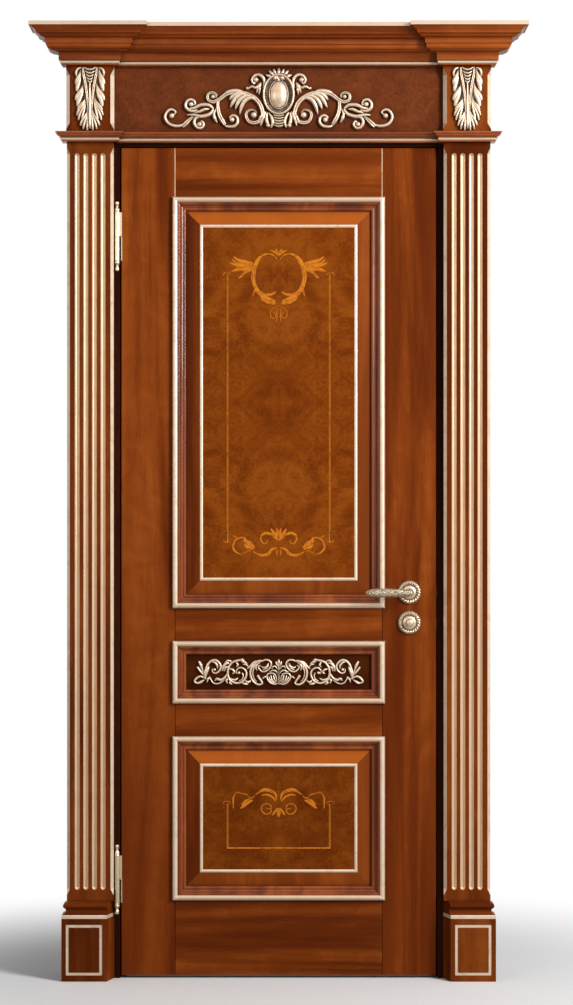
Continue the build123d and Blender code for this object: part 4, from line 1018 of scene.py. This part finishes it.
def heart_right():
    """Right half of the heart-shaped wreath in the upper panel: light strips, then dark lines."""
    light = [
        ([(4, 40), (12, 51), (24, 56), (38, 53), (52, 42), (62, 22), (65, 1), (62, -22), (51, -43),
          (32, -57), (9, -66)], (1.5, 3, 4.5, 6, 10, 12, 12.5, 11, 12.5, 13, 9)),
        ([(52, -38), (38, -46), (24, -48), (13, -45), (8, -40)], (3, 7, 7, 5, 3)),
        ([(50, -46), (40, -60), (26, -68), (6, -71)], (4, 9, 9, 5)),
        ([(60, -36), (64, -46), (66, -52)], (6, 5, 2)),
        ([(66, 30), (84, 34), (100, 38), (115, 49)], (8, 12, 10, 2)),
        ([(68, 26), (88, 26), (108, 28), (126, 34)], (9, 12, 10, 2)),
        ([(68, 22), (90, 18), (106, 16), (120, 11)], (8, 12, 9, 2)),
        ([(68, 18), (84, 10), (94, 0), (102, -6)], (7, 10, 6, 2)),
        ([(100, 28), (112, 36), (119, 44)], (6, 6, 2)),
        ([(0, 54), (9, 60), (22, 65)], (9, 8, 2)),
        ([(0, 54), (5, 63), (8, 69)], (8, 6, 2)),
        ([(1, -75), (9, -80), (20, -88), (20, -103), (12, -109), (7, -99), (13, -92)],
         (1.5, 1.8, 2, 2, 1.8, 1.6, 1.2)),
        ([(2, -78), (5, -92), (4, -108), (7, -117)], (1.2, 1.8, 1.8, 1.2)),
        ([(122, 1), (126, 7), (132, 9), (138, 7), (141, 1)], (1.6, 2, 2, 2, 1.6)),
    ]
    dark = [
        ([(6, 38), (14, 49), (26, 53), (38, 50), (50, 40), (56, 28)], (3.4, 2.4, 1.6, 1.4, 1.4, 1)),
        ([(60, 26), (62, 6), (58, -14), (50, -30), (38, -42), (24, -50)], (1, 1.5, 1.5, 1.5, 1.5, 1)),
        ([(58, 14), (56, -4), (48, -20), (42, -24)], (0.8, 1.2, 1.2, 0.8)),
        ([(56, -8), (50, -24), (42, -30)], (0.8, 1.2, 0.8)),
        ([(60, -40), (46, -54), (30, -62), (14, -62)], (0.8, 1.3, 1.3, 0.8)),
        ([(72, 24), (90, 22), (110, 20)], (0.8, 1.3, 0.8)),
        ([(78, 30), (96, 33), (110, 40)], (0.8, 1.2, 0.8)),
        ([(80, 14), (94, 8), (106, 8)], (0.8, 1.3, 0.8)),
        ([(84, 4), (96, -8), (106, -8), (112, -3)], (1, 2.2, 2.2, 1)),
        ([(70, 12), (66, -4), (67, -20)], (0.8, 1.4, 0.8)),
        ([(8, -106), (13, -111), (19, -107)], (1, 2.4, 1)),
    ]
    return light, dark


def upper_garland_right():
    """Right half of the ornament at the foot of the upper panel."""
    light = [
        ([(0, 8), (2, 24), (6, 40)], (7, 9, 2)),
        ([(3, 10), (12, 26), (20, 38)], (5, 9, 3)),
        ([(8, 14), (20, 24), (34, 26), (44, 20), (45, 9), (38, 0), (30, 2), (29, 9)],
         (4, 8, 7, 5, 4, 3, 2.4, 1.5)),
        ([(4, -12), (16, -14), (28, -27), (46, -30), (66, -20)], (4, 7, 9, 8, 2)),
        ([(3, -16), (5, -24), (4, -30)], (3, 4, 2)),
        ([(62, -10), (74, 0), (84, 6), (88, 14)], (4, 13, 11, 3)),
        ([(64, -14), (78, -10), (88, -2)], (3, 9, 4)),
        ([(84, 14), (99, 15), (112, 6), (116, -10), (108, -22), (94, -28)], (3, 4, 5, 6, 4, 2)),
        ([(104, 12), (111, 18), (117, 21)], (3, 4, 2)),
        ([(70, -20), (77, -17), (84, -22), (92, -26)], (1.6, 2.4, 2.4, 1.4)),
        ([(122, 9), (126, 5), (132, 3), (138, 5), (141, 9)], (1.4, 1.8, 1.8, 1.8, 1.4)),
    ]
    dark = [
        ([(0, 12), (0, 20)], (1.4, 1.4)),
        ([(12, 18), (22, 20), (31, 14)], (1, 3.4, 1)),
        ([(36, 16), (40, 9), (36, 4)], (0.8, 1.4, 0.8)),
        ([(14, -20), (30, -22), (48, -24), (60, -20)], (0.8, 1.2, 1.2, 0.8)),
        ([(88, 8), (98, 10), (107, 2), (109, -10)], (0.8, 1.6, 1.6, 0.8)),
        ([(70, -16), (76, -13), (82, -17)], (1, 2.6, 1)),
        ([(92, -22), (97, -19), (103, -23)], (1, 2.6, 1)),
        ([(131.6, 30), (131.8, 18), (132, 10)], (2.6, 3, 3)),
    ]
    return light, dark


def lower_garland_right():
    """Right half of the ornament in the lower panel, and the turned-up ends of its line."""
    light = [
        ([(0, 0), (0, 24), (0, 54)], (3, 3, 1)),
        ([(5, 8), (8, 22), (20, 31), (38, 34), (59, 22)], (3, 7, 9, 9, 2)),
        ([(8, 6), (16, 16), (30, 22), (44, 20)], (3, 5, 5, 2)),
        ([(18, -14), (22, -4), (32, -1), (42, -6), (44, -16), (36, -26), (26, -27),
          (19, -20), (24, -13), (32, -15)], (2, 2.4, 2.6, 2.6, 2.6, 2.6, 2.4, 2.2, 2, 1.4)),
        ([(2, -12), (10, -22), (16, -30)], (5, 6, 2)),
        ([(0, -14), (2, -26), (0, -35)], (5, 6, 2)),
        ([(60, 20), (70, 13), (82, 22), (94, 25), (106, 28), (114, 18), (116, 8), (115, -13)],
         (2, 3, 2.4, 3, 3, 4, 4, 2)),
        ([(66, 8), (78, 2), (88, -6), (97, -13)], (3, 9, 8, 3)),
        ([(72, 12), (84, 6), (94, -4)], (3, 7, 3)),
        ([(122, -1), (126, 4), (132, 5), (138, 4), (141, -1)], (1.2, 1.6, 1.6, 1.6, 1.2)),
    ]
    dark = [
        ([(3, 4), (3, 16), (1, 26)], (1.4, 1.6, 1)),
        ([(18, 22), (32, 26), (44, 22)], (0.8, 1.8, 0.8)),
        ([(70, 18), (77, 20), (84, 17)], (1, 2.4, 1)),
        ([(88, 18), (95, 12), (96, 20)], (1, 1.8, 1)),
        ([(92, 6), (102, -4), (110, -2), (112, 10)], (0.8, 1.8, 1.8, 0.8)),
        ([(26, -14), (30, -20), (36, -18)], (1.4, 2.6, 1.4)),
        ([(131.6, 0), (131.8, -8), (132, -14)], (2.8, 3, 2.4)),
    ]
    return light, dark


def edge_lines():
    """Dark lines on both sides of the inlaid lines, in millimetres from the floor."""
    lines = []
    for out in (129.6, 133.9):
        lines.append([(out, 1130), (out, 1450), (out, 1786)])
        lines.append([(out, 330.6), (out, 380), (out, 434)])
    return lines


def placed(parts, dx, dz):
    """Moves new meshes by a distance in millimetres across the door."""
    for part in parts:
        for point in part.data.vertices:
            point.co.x += dx / 1000
            point.co.z += dz / 1000
    return parts


def along_profile(profile, share):
    """Radius and height at a share of a profile, each step of which counts the same."""
    last = len(profile) - 1
    low = min(int(share * last), last - 1)
    part = share * last - low
    return [first + (second - first) * part for first, second in zip(profile[low], profile[low + 1])]


def turned_surface(axis, face, outward, profile, ripple=None):
    """A turned or cast round piece on an axis through the leaf; profile gives radius and height."""
    def shape(u, v):
        radius, height = along_profile(profile, v)
        turn = 2 * pi * u
        if ripple:
            radius, height = ripple(turn, radius, height)
        return (
            axis[0] + radius * cos(turn) / 1000,
            face + outward * height / 1000,
            axis[1] + radius * sin(turn) / 1000,
        )
    return shape


def rosette_piece(name, axis, face, outward):
    """Cast rosette: a domed middle, a groove and a rounded rim of cut leaves."""
    profile = [
        (8.3, 0.2), (8.3, 8.7), (10, 9.0), (13, 8.5), (15.6, 7.2), (17.2, 5.6), (18.2, 3.4),
        (19.2, 3.4), (20, 5.2), (22, 7.4), (24.5, 8.2), (27, 7.4), (28.7, 5.0), (29.5, 2.4),
        (29.8, 0.6), (29.8, 0.0), (8.3, 0.0),
    ]

    def ripple(turn, radius, height):
        if radius < 19.2 or height < 0.5:
            return radius, height
        lobe = abs(sin(turn * 10.5 + radius * 0.21))
        return radius - (1 - lobe) ** 2 * 0.9 * (radius - 19) / 10, height - (1 - lobe) ** 3 * 2.2

    rows = (len(profile) - 1) * 3 + 1
    return sheet_over(name, 121, rows, turned_surface(axis, face, outward, profile, ripple))


def lever_piece(name, face, outward):
    """Lever: a collar, a neck and an arm that swells to its tip, cast with a net of scales."""
    reach = 0.051
    length, heel, belly = 114.0, 8.5, 70.0
    root_radius, full_radius = 9.0, 11.6
    profile = [
        (0, 9.2), (7.9, 9.2), (7.9, 12), (9.6, 13), (9.6, 15), (7.4, 17), (6.6, 24), (7.2, 34),
        (8.2, 42), (8.4, 46),
    ]

    def faded(value):
        return min(1.0, max(0.0, value))

    def arm(u, v):
        turn = 2 * pi * u
        along = v * (length + heel) - heel
        if along < 0:
            radius = root_radius * faded(1 - (along / heel) ** 2) ** 0.5
        elif along < belly:
            radius = root_radius + (full_radius - root_radius) * sin(pi / 2 * along / belly)
        else:
            radius = full_radius * faded(1 - ((along - belly) / (length - belly)) ** 2.6) ** 0.5
        scales = abs(sin(turn * 5 + along * 0.42)) * abs(sin(turn * 5 - along * 0.42))
        fade = faded((along - 4) / 10) * faded((length - along) / 12)
        ribs = abs(sin(turn * 8)) * faded((12 - abs(along - 8)) / 12)
        cut_radius = radius - 0.9 * fade * (1 - scales ** 0.5) - 0.5 * (1 - ribs) * (1 - fade)
        return (
            HANDLE[0] - along / 1000,
            face + outward * reach + cut_radius * sin(turn) / 1000,
            HANDLE[1] + cut_radius * cos(turn) / 1000,
        )
    neck = turned_surface(HANDLE, face, outward, profile)
    return join(name, [sheet_over("neck", 41, 28, neck), sheet_over("arm", 101, 150, arm)])


def knob_piece(name):
    """Thumb turn on the front: a stem and a ribbed round knob with a flat domed top."""
    profile = [
        (0, 9.1), (7.8, 9.1), (7.8, 10.2), (6.6, 11.5), (6.4, 13), (8.4, 14.6), (9.7, 17), (9.9, 19.6),
        (9.0, 22.2), (7.2, 24), (4.6, 24.8), (0, 25),
    ]

    def ripple(turn, radius, height):
        if 12 < height < 23.5:
            return radius - 0.5 * abs(sin(turn * 9)) ** 3, height
        return radius, height
    return sheet_over(name, 82, 34, turned_surface(TURN, LEAF_FACE, -1, profile, ripple))


def hinge_finials(name, upwards):
    """Turned finials of both hinges: a ring, a bead, a slender neck and a flared knob."""
    profile = [
        (0, 0.2), (7.4, 0.2), (7.6, 1.4), (7.1, 2.8), (6.7, 3.4), (7.1, 4.4), (7.25, 6.4), (6.9, 8.4),
        (5.6, 11), (4.1, 13.4), (3.8, 15), (4.6, 17.4), (5.4, 20.4), (5.6, 24), (5.2, 26.6), (3.4, 28),
        (0, 28.2),
    ]
    rows = (len(profile) - 1) * 2 + 1
    parts = []
    for middle in HINGE_HEIGHTS:
        def shape(u, v, middle=middle):
            radius, rise = along_profile(profile, v)
            turn = 2 * pi * u
            return (
                HINGE[0] + radius * cos(turn) / 1000,
                HINGE[1] + radius * sin(turn) / 1000,
                middle + upwards * (BARREL_HALF + rise / 1000),
            )
        parts.append(sheet_over("finial", 33, rows, shape))
    return join(name, parts)


# Properties


def colour_property(name, description, default):
    return bpy.props.FloatVectorProperty(
        name=name, description=description, default=default, subtype="COLOR", size=3, min=0.0, max=1.0
    )


class DoorFinishes(bpy.types.PropertyGroup):
    """Colours of the door's finishes."""

    walnut: colour_property("Walnut", "Middle tone of the walnut", (0.245, 0.048, 0.006))
    walnut_dark: colour_property("Dark walnut", "Dark tone of the walnut", (0.122, 0.020, 0.003))
    walnut_light: colour_property("Light walnut", "Light tone of the walnut", (0.365, 0.086, 0.012))
    burl: colour_property("Burl", "Middle tone of the panels' burl", (0.205, 0.041, 0.003))
    burl_dark: colour_property("Dark burl", "Dark tone of the panels' burl", (0.122, 0.022, 0.002))
    burl_light: colour_property("Light burl", "Light tone of the panels' burl", (0.310, 0.074, 0.006))
    frieze: colour_property("Frieze", "Middle tone of the frieze's burl", (0.142, 0.034, 0.010))
    gilt: colour_property("Gilding", "Champagne gilding", (0.90, 0.71, 0.53))
    # Shaded gilding colour: a duller tone of the gold, also used as painted shade on gilding that faces
    # away from the light
    gilt_shade: colour_property("Shaded gilding", "Gilding that has yellowed", (0.72, 0.49, 0.31))
    # Patina colour, also used as painted shade in the corners of the wood and in the recesses of gilding
    # and brass
    patina_and_shade: colour_property("Patina", "Brown glaze left in recesses", (0.028, 0.010, 0.005))
    brass: colour_property("Brass", "Polished brass of the hinges", (0.88, 0.74, 0.46))
    antique: colour_property("Antique brass", "Gilt castings of lever and rosettes", (0.80, 0.66, 0.47))
    inlay: colour_property("Inlay", "Light veneer of the inlays", (0.70, 0.215, 0.016))
    inlay_shade: colour_property("Scorched inlay", "Veneer shaded in hot sand", (0.30, 0.062, 0.004))


class DoorStudio(bpy.types.PropertyGroup):
    """Camera and light."""

    distance: bpy.props.FloatProperty(
        name="Camera distance", description="From the leaf's face", default=6.35, min=2.0, unit="LENGTH"
    )
    height: bpy.props.FloatProperty(
        name="Camera height", description="Above the floor", default=1.208, min=0.1, unit="LENGTH"
    )
    lens: bpy.props.FloatProperty(
        name="Lens", description="Focal length", default=89.55, min=10.0, unit="CAMERA"
    )
    key_power: bpy.props.FloatProperty(
        name="Key light", description="Power of the tall light at the right", default=275.0, min=0.0,
        unit="POWER"
    )
    fill_power: bpy.props.FloatProperty(
        name="Fill light", description="Power of the light at the left", default=22.0, min=0.0, unit="POWER"
    )
    room_light: bpy.props.FloatProperty(
        name="Room light", description="Strength of the even light all round", default=0.33, min=0.0
    )


# Operators


class DOOR_OT_boards(bpy.types.Operator):
    """Finish the leaf's stiles, rails and hidden boards in walnut"""

    bl_idname = "door.boards"
    bl_label = "Boards"

    def execute(self, context):
        look = context.scene.door_finishes
        cover("stile_hinge", stile_finish("walnut_stile_hinge", 1.3, look))
        cover("stile_lock", stile_finish("walnut_stile_lock", 3.9, look))
        cover("rail_top", top_rail_finish("walnut_rail_top", 5.2, look))
        # Jambs, stops and head jamb are dark: partly dark stain, partly painted shade of the deep reveal
        stain_and_painted_shade = 0.16
        boards = (
            ("rail_bottom", "x", 7.7, 0.8),
            ("rail_lock_lower", "x", 9.1, 0.95),
            ("rail_lock_upper", "x", 2.6, 0.95),
            ("jamb_left", "z", 4.4, stain_and_painted_shade),
            ("jamb_right", "z", 6.6, stain_and_painted_shade),
            ("door_stops", "z", 1.9, stain_and_painted_shade),
            ("jamb_head", "x", 8.3, stain_and_painted_shade),
            ("casing_left", "z", 2.2, 1.0),
            ("casing_right", "z", 7.1, 1.0),
            ("casing_head", "x", 3.3, 1.0),
        )
        for node, along, seed, share in boards:
            cover(node, board("walnut_" + node, along, seed, look, share))
        return {"FINISHED"}


class DOOR_OT_surround(bpy.types.Operator):
    """Finish pilasters, plinths, capitals, frieze and cornice in walnut with gilding"""

    bl_idname = "door.surround"
    bl_label = "Surround"

    def execute(self, context):
        look = context.scene.door_finishes
        for side, seed in (("left", 2.9), ("right", 6.1)):
            cover("pilaster_" + side, pilaster_finish("walnut_pilaster_" + side, seed, look))
            cover("plinth_" + side, plinth_finish("walnut_plinth_" + side, seed + 1, look))
            cover("capital_" + side, capital_finish("walnut_capital_" + side, seed + 2, look))
        cover("plinth_mouldings", plinth_moulding_finish("walnut_plinth_mouldings", look))
        cover("crown_cornice", cornice_finish("walnut_crown", CROWN_BEADS, 5.0, look, 0.15))
        cover("astragal_moulding", cornice_finish("walnut_astragal", ASTRAGAL_BEADS, 7.5, look, 0.6))
        tones = [scaled(look.frieze, share) for share in (0.6, 1.0, 1.45)]
        cover("frieze_board", burl_finish("burl_frieze", 4.7, tones, look, 0.8))
        return {"FINISHED"}


class DOOR_OT_panels(bpy.types.Operator):
    """Finish the panels in burl, with their mouldings, beads and inlays"""

    bl_idname = "door.panels"
    bl_label = "Panels"

    def execute(self, context):
        look = context.scene.door_finishes
        tones = (look.burl_dark, look.burl, look.burl_light)
        fields = {
            name: (low + PANEL_MARGIN, high - PANEL_MARGIN) for name, (low, high) in OPENINGS.items()
        }
        join_height = sum(fields["upper"]) / 2
        upper = burl_finish("burl_upper", 1.2, tones, look, 1.0, join_height, fields["upper"])
        lower_tones = [scaled(tone, 0.82) for tone in tones]
        lower = burl_finish("burl_lower", 5.5, lower_tones, look, 1.0, None, fields["lower"])
        for name, finish in (("upper", upper), ("lower", lower)):
            cover("panel_" + name, finish)
            cover("marquetry_" + name, finish)
        cover("panel_middle", board("walnut_panel_middle", "x", 6.2, look, 0.24))
        for opening in OPENINGS:
            cover("moulding_" + opening, panel_moulding_finish("moulding_" + opening, opening, look))
        cover("mouldings_back", back_moulding_finish("mouldings_back", look))
        bead = gilt_finish("gilt_bead", look)
        cover("field_bead_upper", bead)
        cover("field_bead_lower", bead)
        cover("inlay_lines", inlay_finish("inlay_veneer", look))
        return {"FINISHED"}


class DOOR_OT_marquetry(bpy.types.Operator):
    """Lay the marquetry's light strips and scorched lines on the fields"""

    bl_idname = "door.marquetry"
    bl_label = "Marquetry"

    def execute(self, context):
        look = context.scene.door_finishes
        light, dark = [], []
        sets = (
            (heart_right, HEART_HEIGHT), (upper_garland_right, UPPER_GARLAND_HEIGHT),
            (lower_garland_right, LOWER_GARLAND_HEIGHT),
        )
        for right_half, height in sets:
            for strips, made, proud in zip(right_half(), (light, dark), (LIGHT_PROUD, SCORCHED_PROUD)):
                parts = [flat_stroke(line, widths, proud) for line, widths in strips]
                made.append(placed([join("strips", parts)], 0, height)[0])
        lines = [flat_stroke(line, (1.0, 1.0, 1.0), LIGHT_PROUD) for line in edge_lines()]
        made = mirrored_pair("veneer_light", light)
        dress(made, inlay_finish("veneer_light", look), "leaf", "inlay")
        made = mirrored_pair("veneer_scorched", dark + lines)
        dress(made, inlay_finish("veneer_scorched", look, 0.75), "leaf", "inlay")
        return {"FINISHED"}


class DOOR_OT_metalwork(bpy.types.Operator):
    """Finish hinges, lock and handles in brass, and model the cast lever, rosettes and knob"""

    bl_idname = "door.metalwork"
    bl_label = "Metalwork"

    def execute(self, context):
        look = context.scene.door_finishes
        brass = brass_finish("brass_polished", look)
        antique = cast_finish("brass_cast", look)
        rim = cast_finish("brass_rosette", look, True)
        steel = steel_finish("steel_plain")
        worn_by = {
            brass: (
                "hinge_frame_leaves", "hinge_pins", "hinge_door_leaves", "strike_plate", "lock_faceplate",
                "latch_bolt", "deadbolt",
            ),
            antique: ("release_disc",),
            steel: (
                "lock_case", "lock_follower", "lever_spindle", "turn_tail", "frame_screws", "leaf_screws",
            ),
            seal_finish("rubber_seal"): ("seal_strips",),
        }
        for finish, nodes in worn_by.items():
            for node in nodes:
                cover(node, finish)
        for name, face, outward in (("front", LEAF_FACE, -1), ("back", LEAF_BACK, 1)):
            pair = [
                rosette_piece("rosette_lever", HANDLE, face, outward),
                rosette_piece("rosette_turn", TURN, face, outward),
            ]
            made = join("carved_rosettes_" + name, pair)
            dress(made, rim, "leaf", "antique_brass", "rosettes_" + name)
            lever = lever_piece("cast_lever_" + name, face, outward)
            dress(lever, antique, "lever", "antique_brass", "lever_" + name)
        knob = knob_piece("ribbed_knob")
        dress(knob, rim, "turn", "antique_brass", "thumb_turn")
        dress(hinge_finials("hinge_finials_top", 1), brass, "leaf", "polished_brass")
        dress(hinge_finials("hinge_finials_foot", -1), brass, "frame", "polished_brass")
        return {"FINISHED"}


class DOOR_OT_carving(bpy.types.Operator):
    """Model the cartouche, the capitals' acanthus leaves and the middle panel's scroll"""

    bl_idname = "door.carving"
    bl_label = "Carving"

    def execute(self, context):
        look = context.scene.door_finishes
        gilt = carved_gilt_finish("gilt_carving", look)
        made = mirrored_pair("carved_cartouche", cartouche_right(FRIEZE_FACE), medallion(FRIEZE_FACE))
        placed([made], 0, MEDALLION_HEIGHT * 1000)
        paint_relief(made, FRIEZE_FACE, 0.012)
        dress(made, gilt, "frame", "carved_gilt", "cartouche")
        leaf = mirrored_pair("carved_leaf", capital_leaf(CAPITAL_FACE), capital_middle(CAPITAL_FACE))
        for side, sign in (("left", -1), ("right", 1)):
            twin = copy_of(leaf, "carved_acanthus_" + side, lambda x, y, z: (x, y, z))
            placed([twin], sign * PILASTER_AXIS * 1000, CAPITAL_MIDDLE * 1000)
            paint_relief(twin, CAPITAL_FACE, 0.011)
            dress(twin, gilt, "frame", "carved_gilt", "acanthus_" + side)
        bpy.data.objects.remove(leaf)
        made = mirrored_pair("carved_middle_scroll", middle_right(MIDDLE_PANEL_FACE))
        placed([made], 0, SCROLL_HEIGHT * 1000)
        paint_relief(made, MIDDLE_PANEL_FACE, 0.007)
        dress(made, gilt, "leaf", "carved_gilt", "scroll_middle")
        return {"FINISHED"}


class DOOR_OT_studio(bpy.types.Operator):
    """Set up floor, light, background and camera"""

    bl_idname = "door.studio"
    bl_label = "Studio"

    def execute(self, context):
        studio = context.scene.door_studio
        add_floor()
        add_background(context.scene, studio.room_light)
        add_lamp("key", (3.5, -3.3, 3.2), (0.0, 0.0, 1.3), (1.3, 3.0), studio.key_power)
        add_lamp("fill", (-3.4, -4.6, 2.6), (0.0, 0.0, 1.2), (2.4, 2.4), studio.fill_power)
        add_camera(context.scene, studio)
        context.scene.view_settings.view_transform = "Standard"
        return {"FINISHED"}


def cover(node, material):
    """Gives a CAD node its finish."""
    data = NODES[node].data
    data.materials.clear()
    data.materials.append(material)


def add_floor():
    """Pale floor that keeps the door's shadow and fades to white further out."""
    deselect()
    bpy.ops.mesh.primitive_plane_add(size=24.0, location=(0.0, 0.0, -0.0005))
    floor = bpy.context.object
    floor.name = "floor"
    graph = Graph("floor_pale")
    x, y, z = graph.axes()
    away = (x * x / 1.4 + y * y) ** 0.5
    fade = away.step(0.5, 1.5)
    seen = graph.node("ShaderNodeLightPath")
    tone = graph.mix(seen, (0.5, 0.5, 0.5), (0.93, 0.93, 0.93))
    matt = graph.node("ShaderNodeBsdfDiffuse", None, {"Color": tone})
    glow = graph.node("ShaderNodeEmission", None, {"Color": rgb((1.0, 1.0, 1.0)), "Strength": 1.0})
    both = graph.node("ShaderNodeMixShader", None, {0: seen * fade, 1: matt, 2: glow})
    graph.node("ShaderNodeOutputMaterial", None, {"Surface": both})
    floor.data.materials.append(graph.material)


def add_background(scene, strength):
    """White for the camera and for reflections, and a soft even light on the door."""
    world = bpy.data.worlds.new("studio")
    scene.world = world
    graph = Graph("studio", world)
    rays = graph.outputs_of(graph.node("ShaderNodeLightPath"))
    seen = rays["Is Camera Ray"].most(rays["Is Glossy Ray"]).most(rays["Is Transmission Ray"])
    light = graph.node("ShaderNodeBackground", None, {"Strength": strength})
    white = graph.node("ShaderNodeBackground", None, {"Color": rgb((1.0, 1.0, 1.0))})
    both = graph.node("ShaderNodeMixShader", None, {0: seen, 1: light, 2: white})
    graph.node("ShaderNodeOutputWorld", None, {"Surface": both})


def add_lamp(name, place, aim, size, power):
    """A soft light, as wide and high as its size says, that faces a point."""
    data = bpy.data.lights.new(name, "AREA")
    data.energy = power
    data.shape = "RECTANGLE"
    data.size, data.size_y = size
    lamp = bpy.data.objects.new(name, data)
    lamp.location = place
    direction = Vector(aim) - Vector(place)
    lamp.rotation_euler = direction.to_track_quat("-Z", "Y").to_euler()
    bpy.context.scene.collection.objects.link(lamp)


def add_camera(scene, studio):
    """Camera at the photograph's place, level, with the door a little left of the middle."""
    data = bpy.data.cameras.new("camera")
    data.lens = studio.lens
    data.sensor_width = 36.0
    data.shift_x = 0.0078
    data.clip_end = 60.0
    camera = bpy.data.objects.new("camera", data)
    camera.location = (0.0, -studio.distance + DEPTH, studio.height)
    camera.rotation_euler = (pi / 2, 0.0, 0.0)
    scene.collection.objects.link(camera)
    scene.camera = camera


class DOOR_PT_panel(bpy.types.Panel):
    """The door's finishes, studio and steps"""

    bl_label = "Classical door"
    bl_idname = "DOOR_PT_panel"
    bl_space_type = "VIEW_3D"
    bl_region_type = "UI"
    bl_category = "Door"

    def draw(self, context):
        layout = self.layout
        for group in (context.scene.door_finishes, context.scene.door_studio):
            for name in group.__annotations__:
                layout.prop(group, name)
        for step in STEPS:
            layout.operator(step.bl_idname)


STEPS = (
    DOOR_OT_boards, DOOR_OT_surround, DOOR_OT_panels, DOOR_OT_marquetry, DOOR_OT_metalwork, DOOR_OT_carving,
    DOOR_OT_studio,
)
CLASSES = (DoorFinishes, DoorStudio, *STEPS, DOOR_PT_panel)


def register():
    for kind in CLASSES:
        bpy.utils.register_class(kind)
    bpy.types.Scene.door_finishes = bpy.props.PointerProperty(type=DoorFinishes)
    bpy.types.Scene.door_studio = bpy.props.PointerProperty(type=DoorStudio)


def unregister():
    del bpy.types.Scene.door_studio
    del bpy.types.Scene.door_finishes
    for kind in reversed(CLASSES):
        bpy.utils.unregister_class(kind)


def main():
    """Registers the add-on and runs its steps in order."""
    register()
    bpy.ops.door.boards()
    bpy.ops.door.surround()
    bpy.ops.door.panels()
    bpy.ops.door.marquetry()
    bpy.ops.door.metalwork()
    bpy.ops.door.carving()
    bpy.ops.door.studio()


if __name__ == "__main__":
    main()
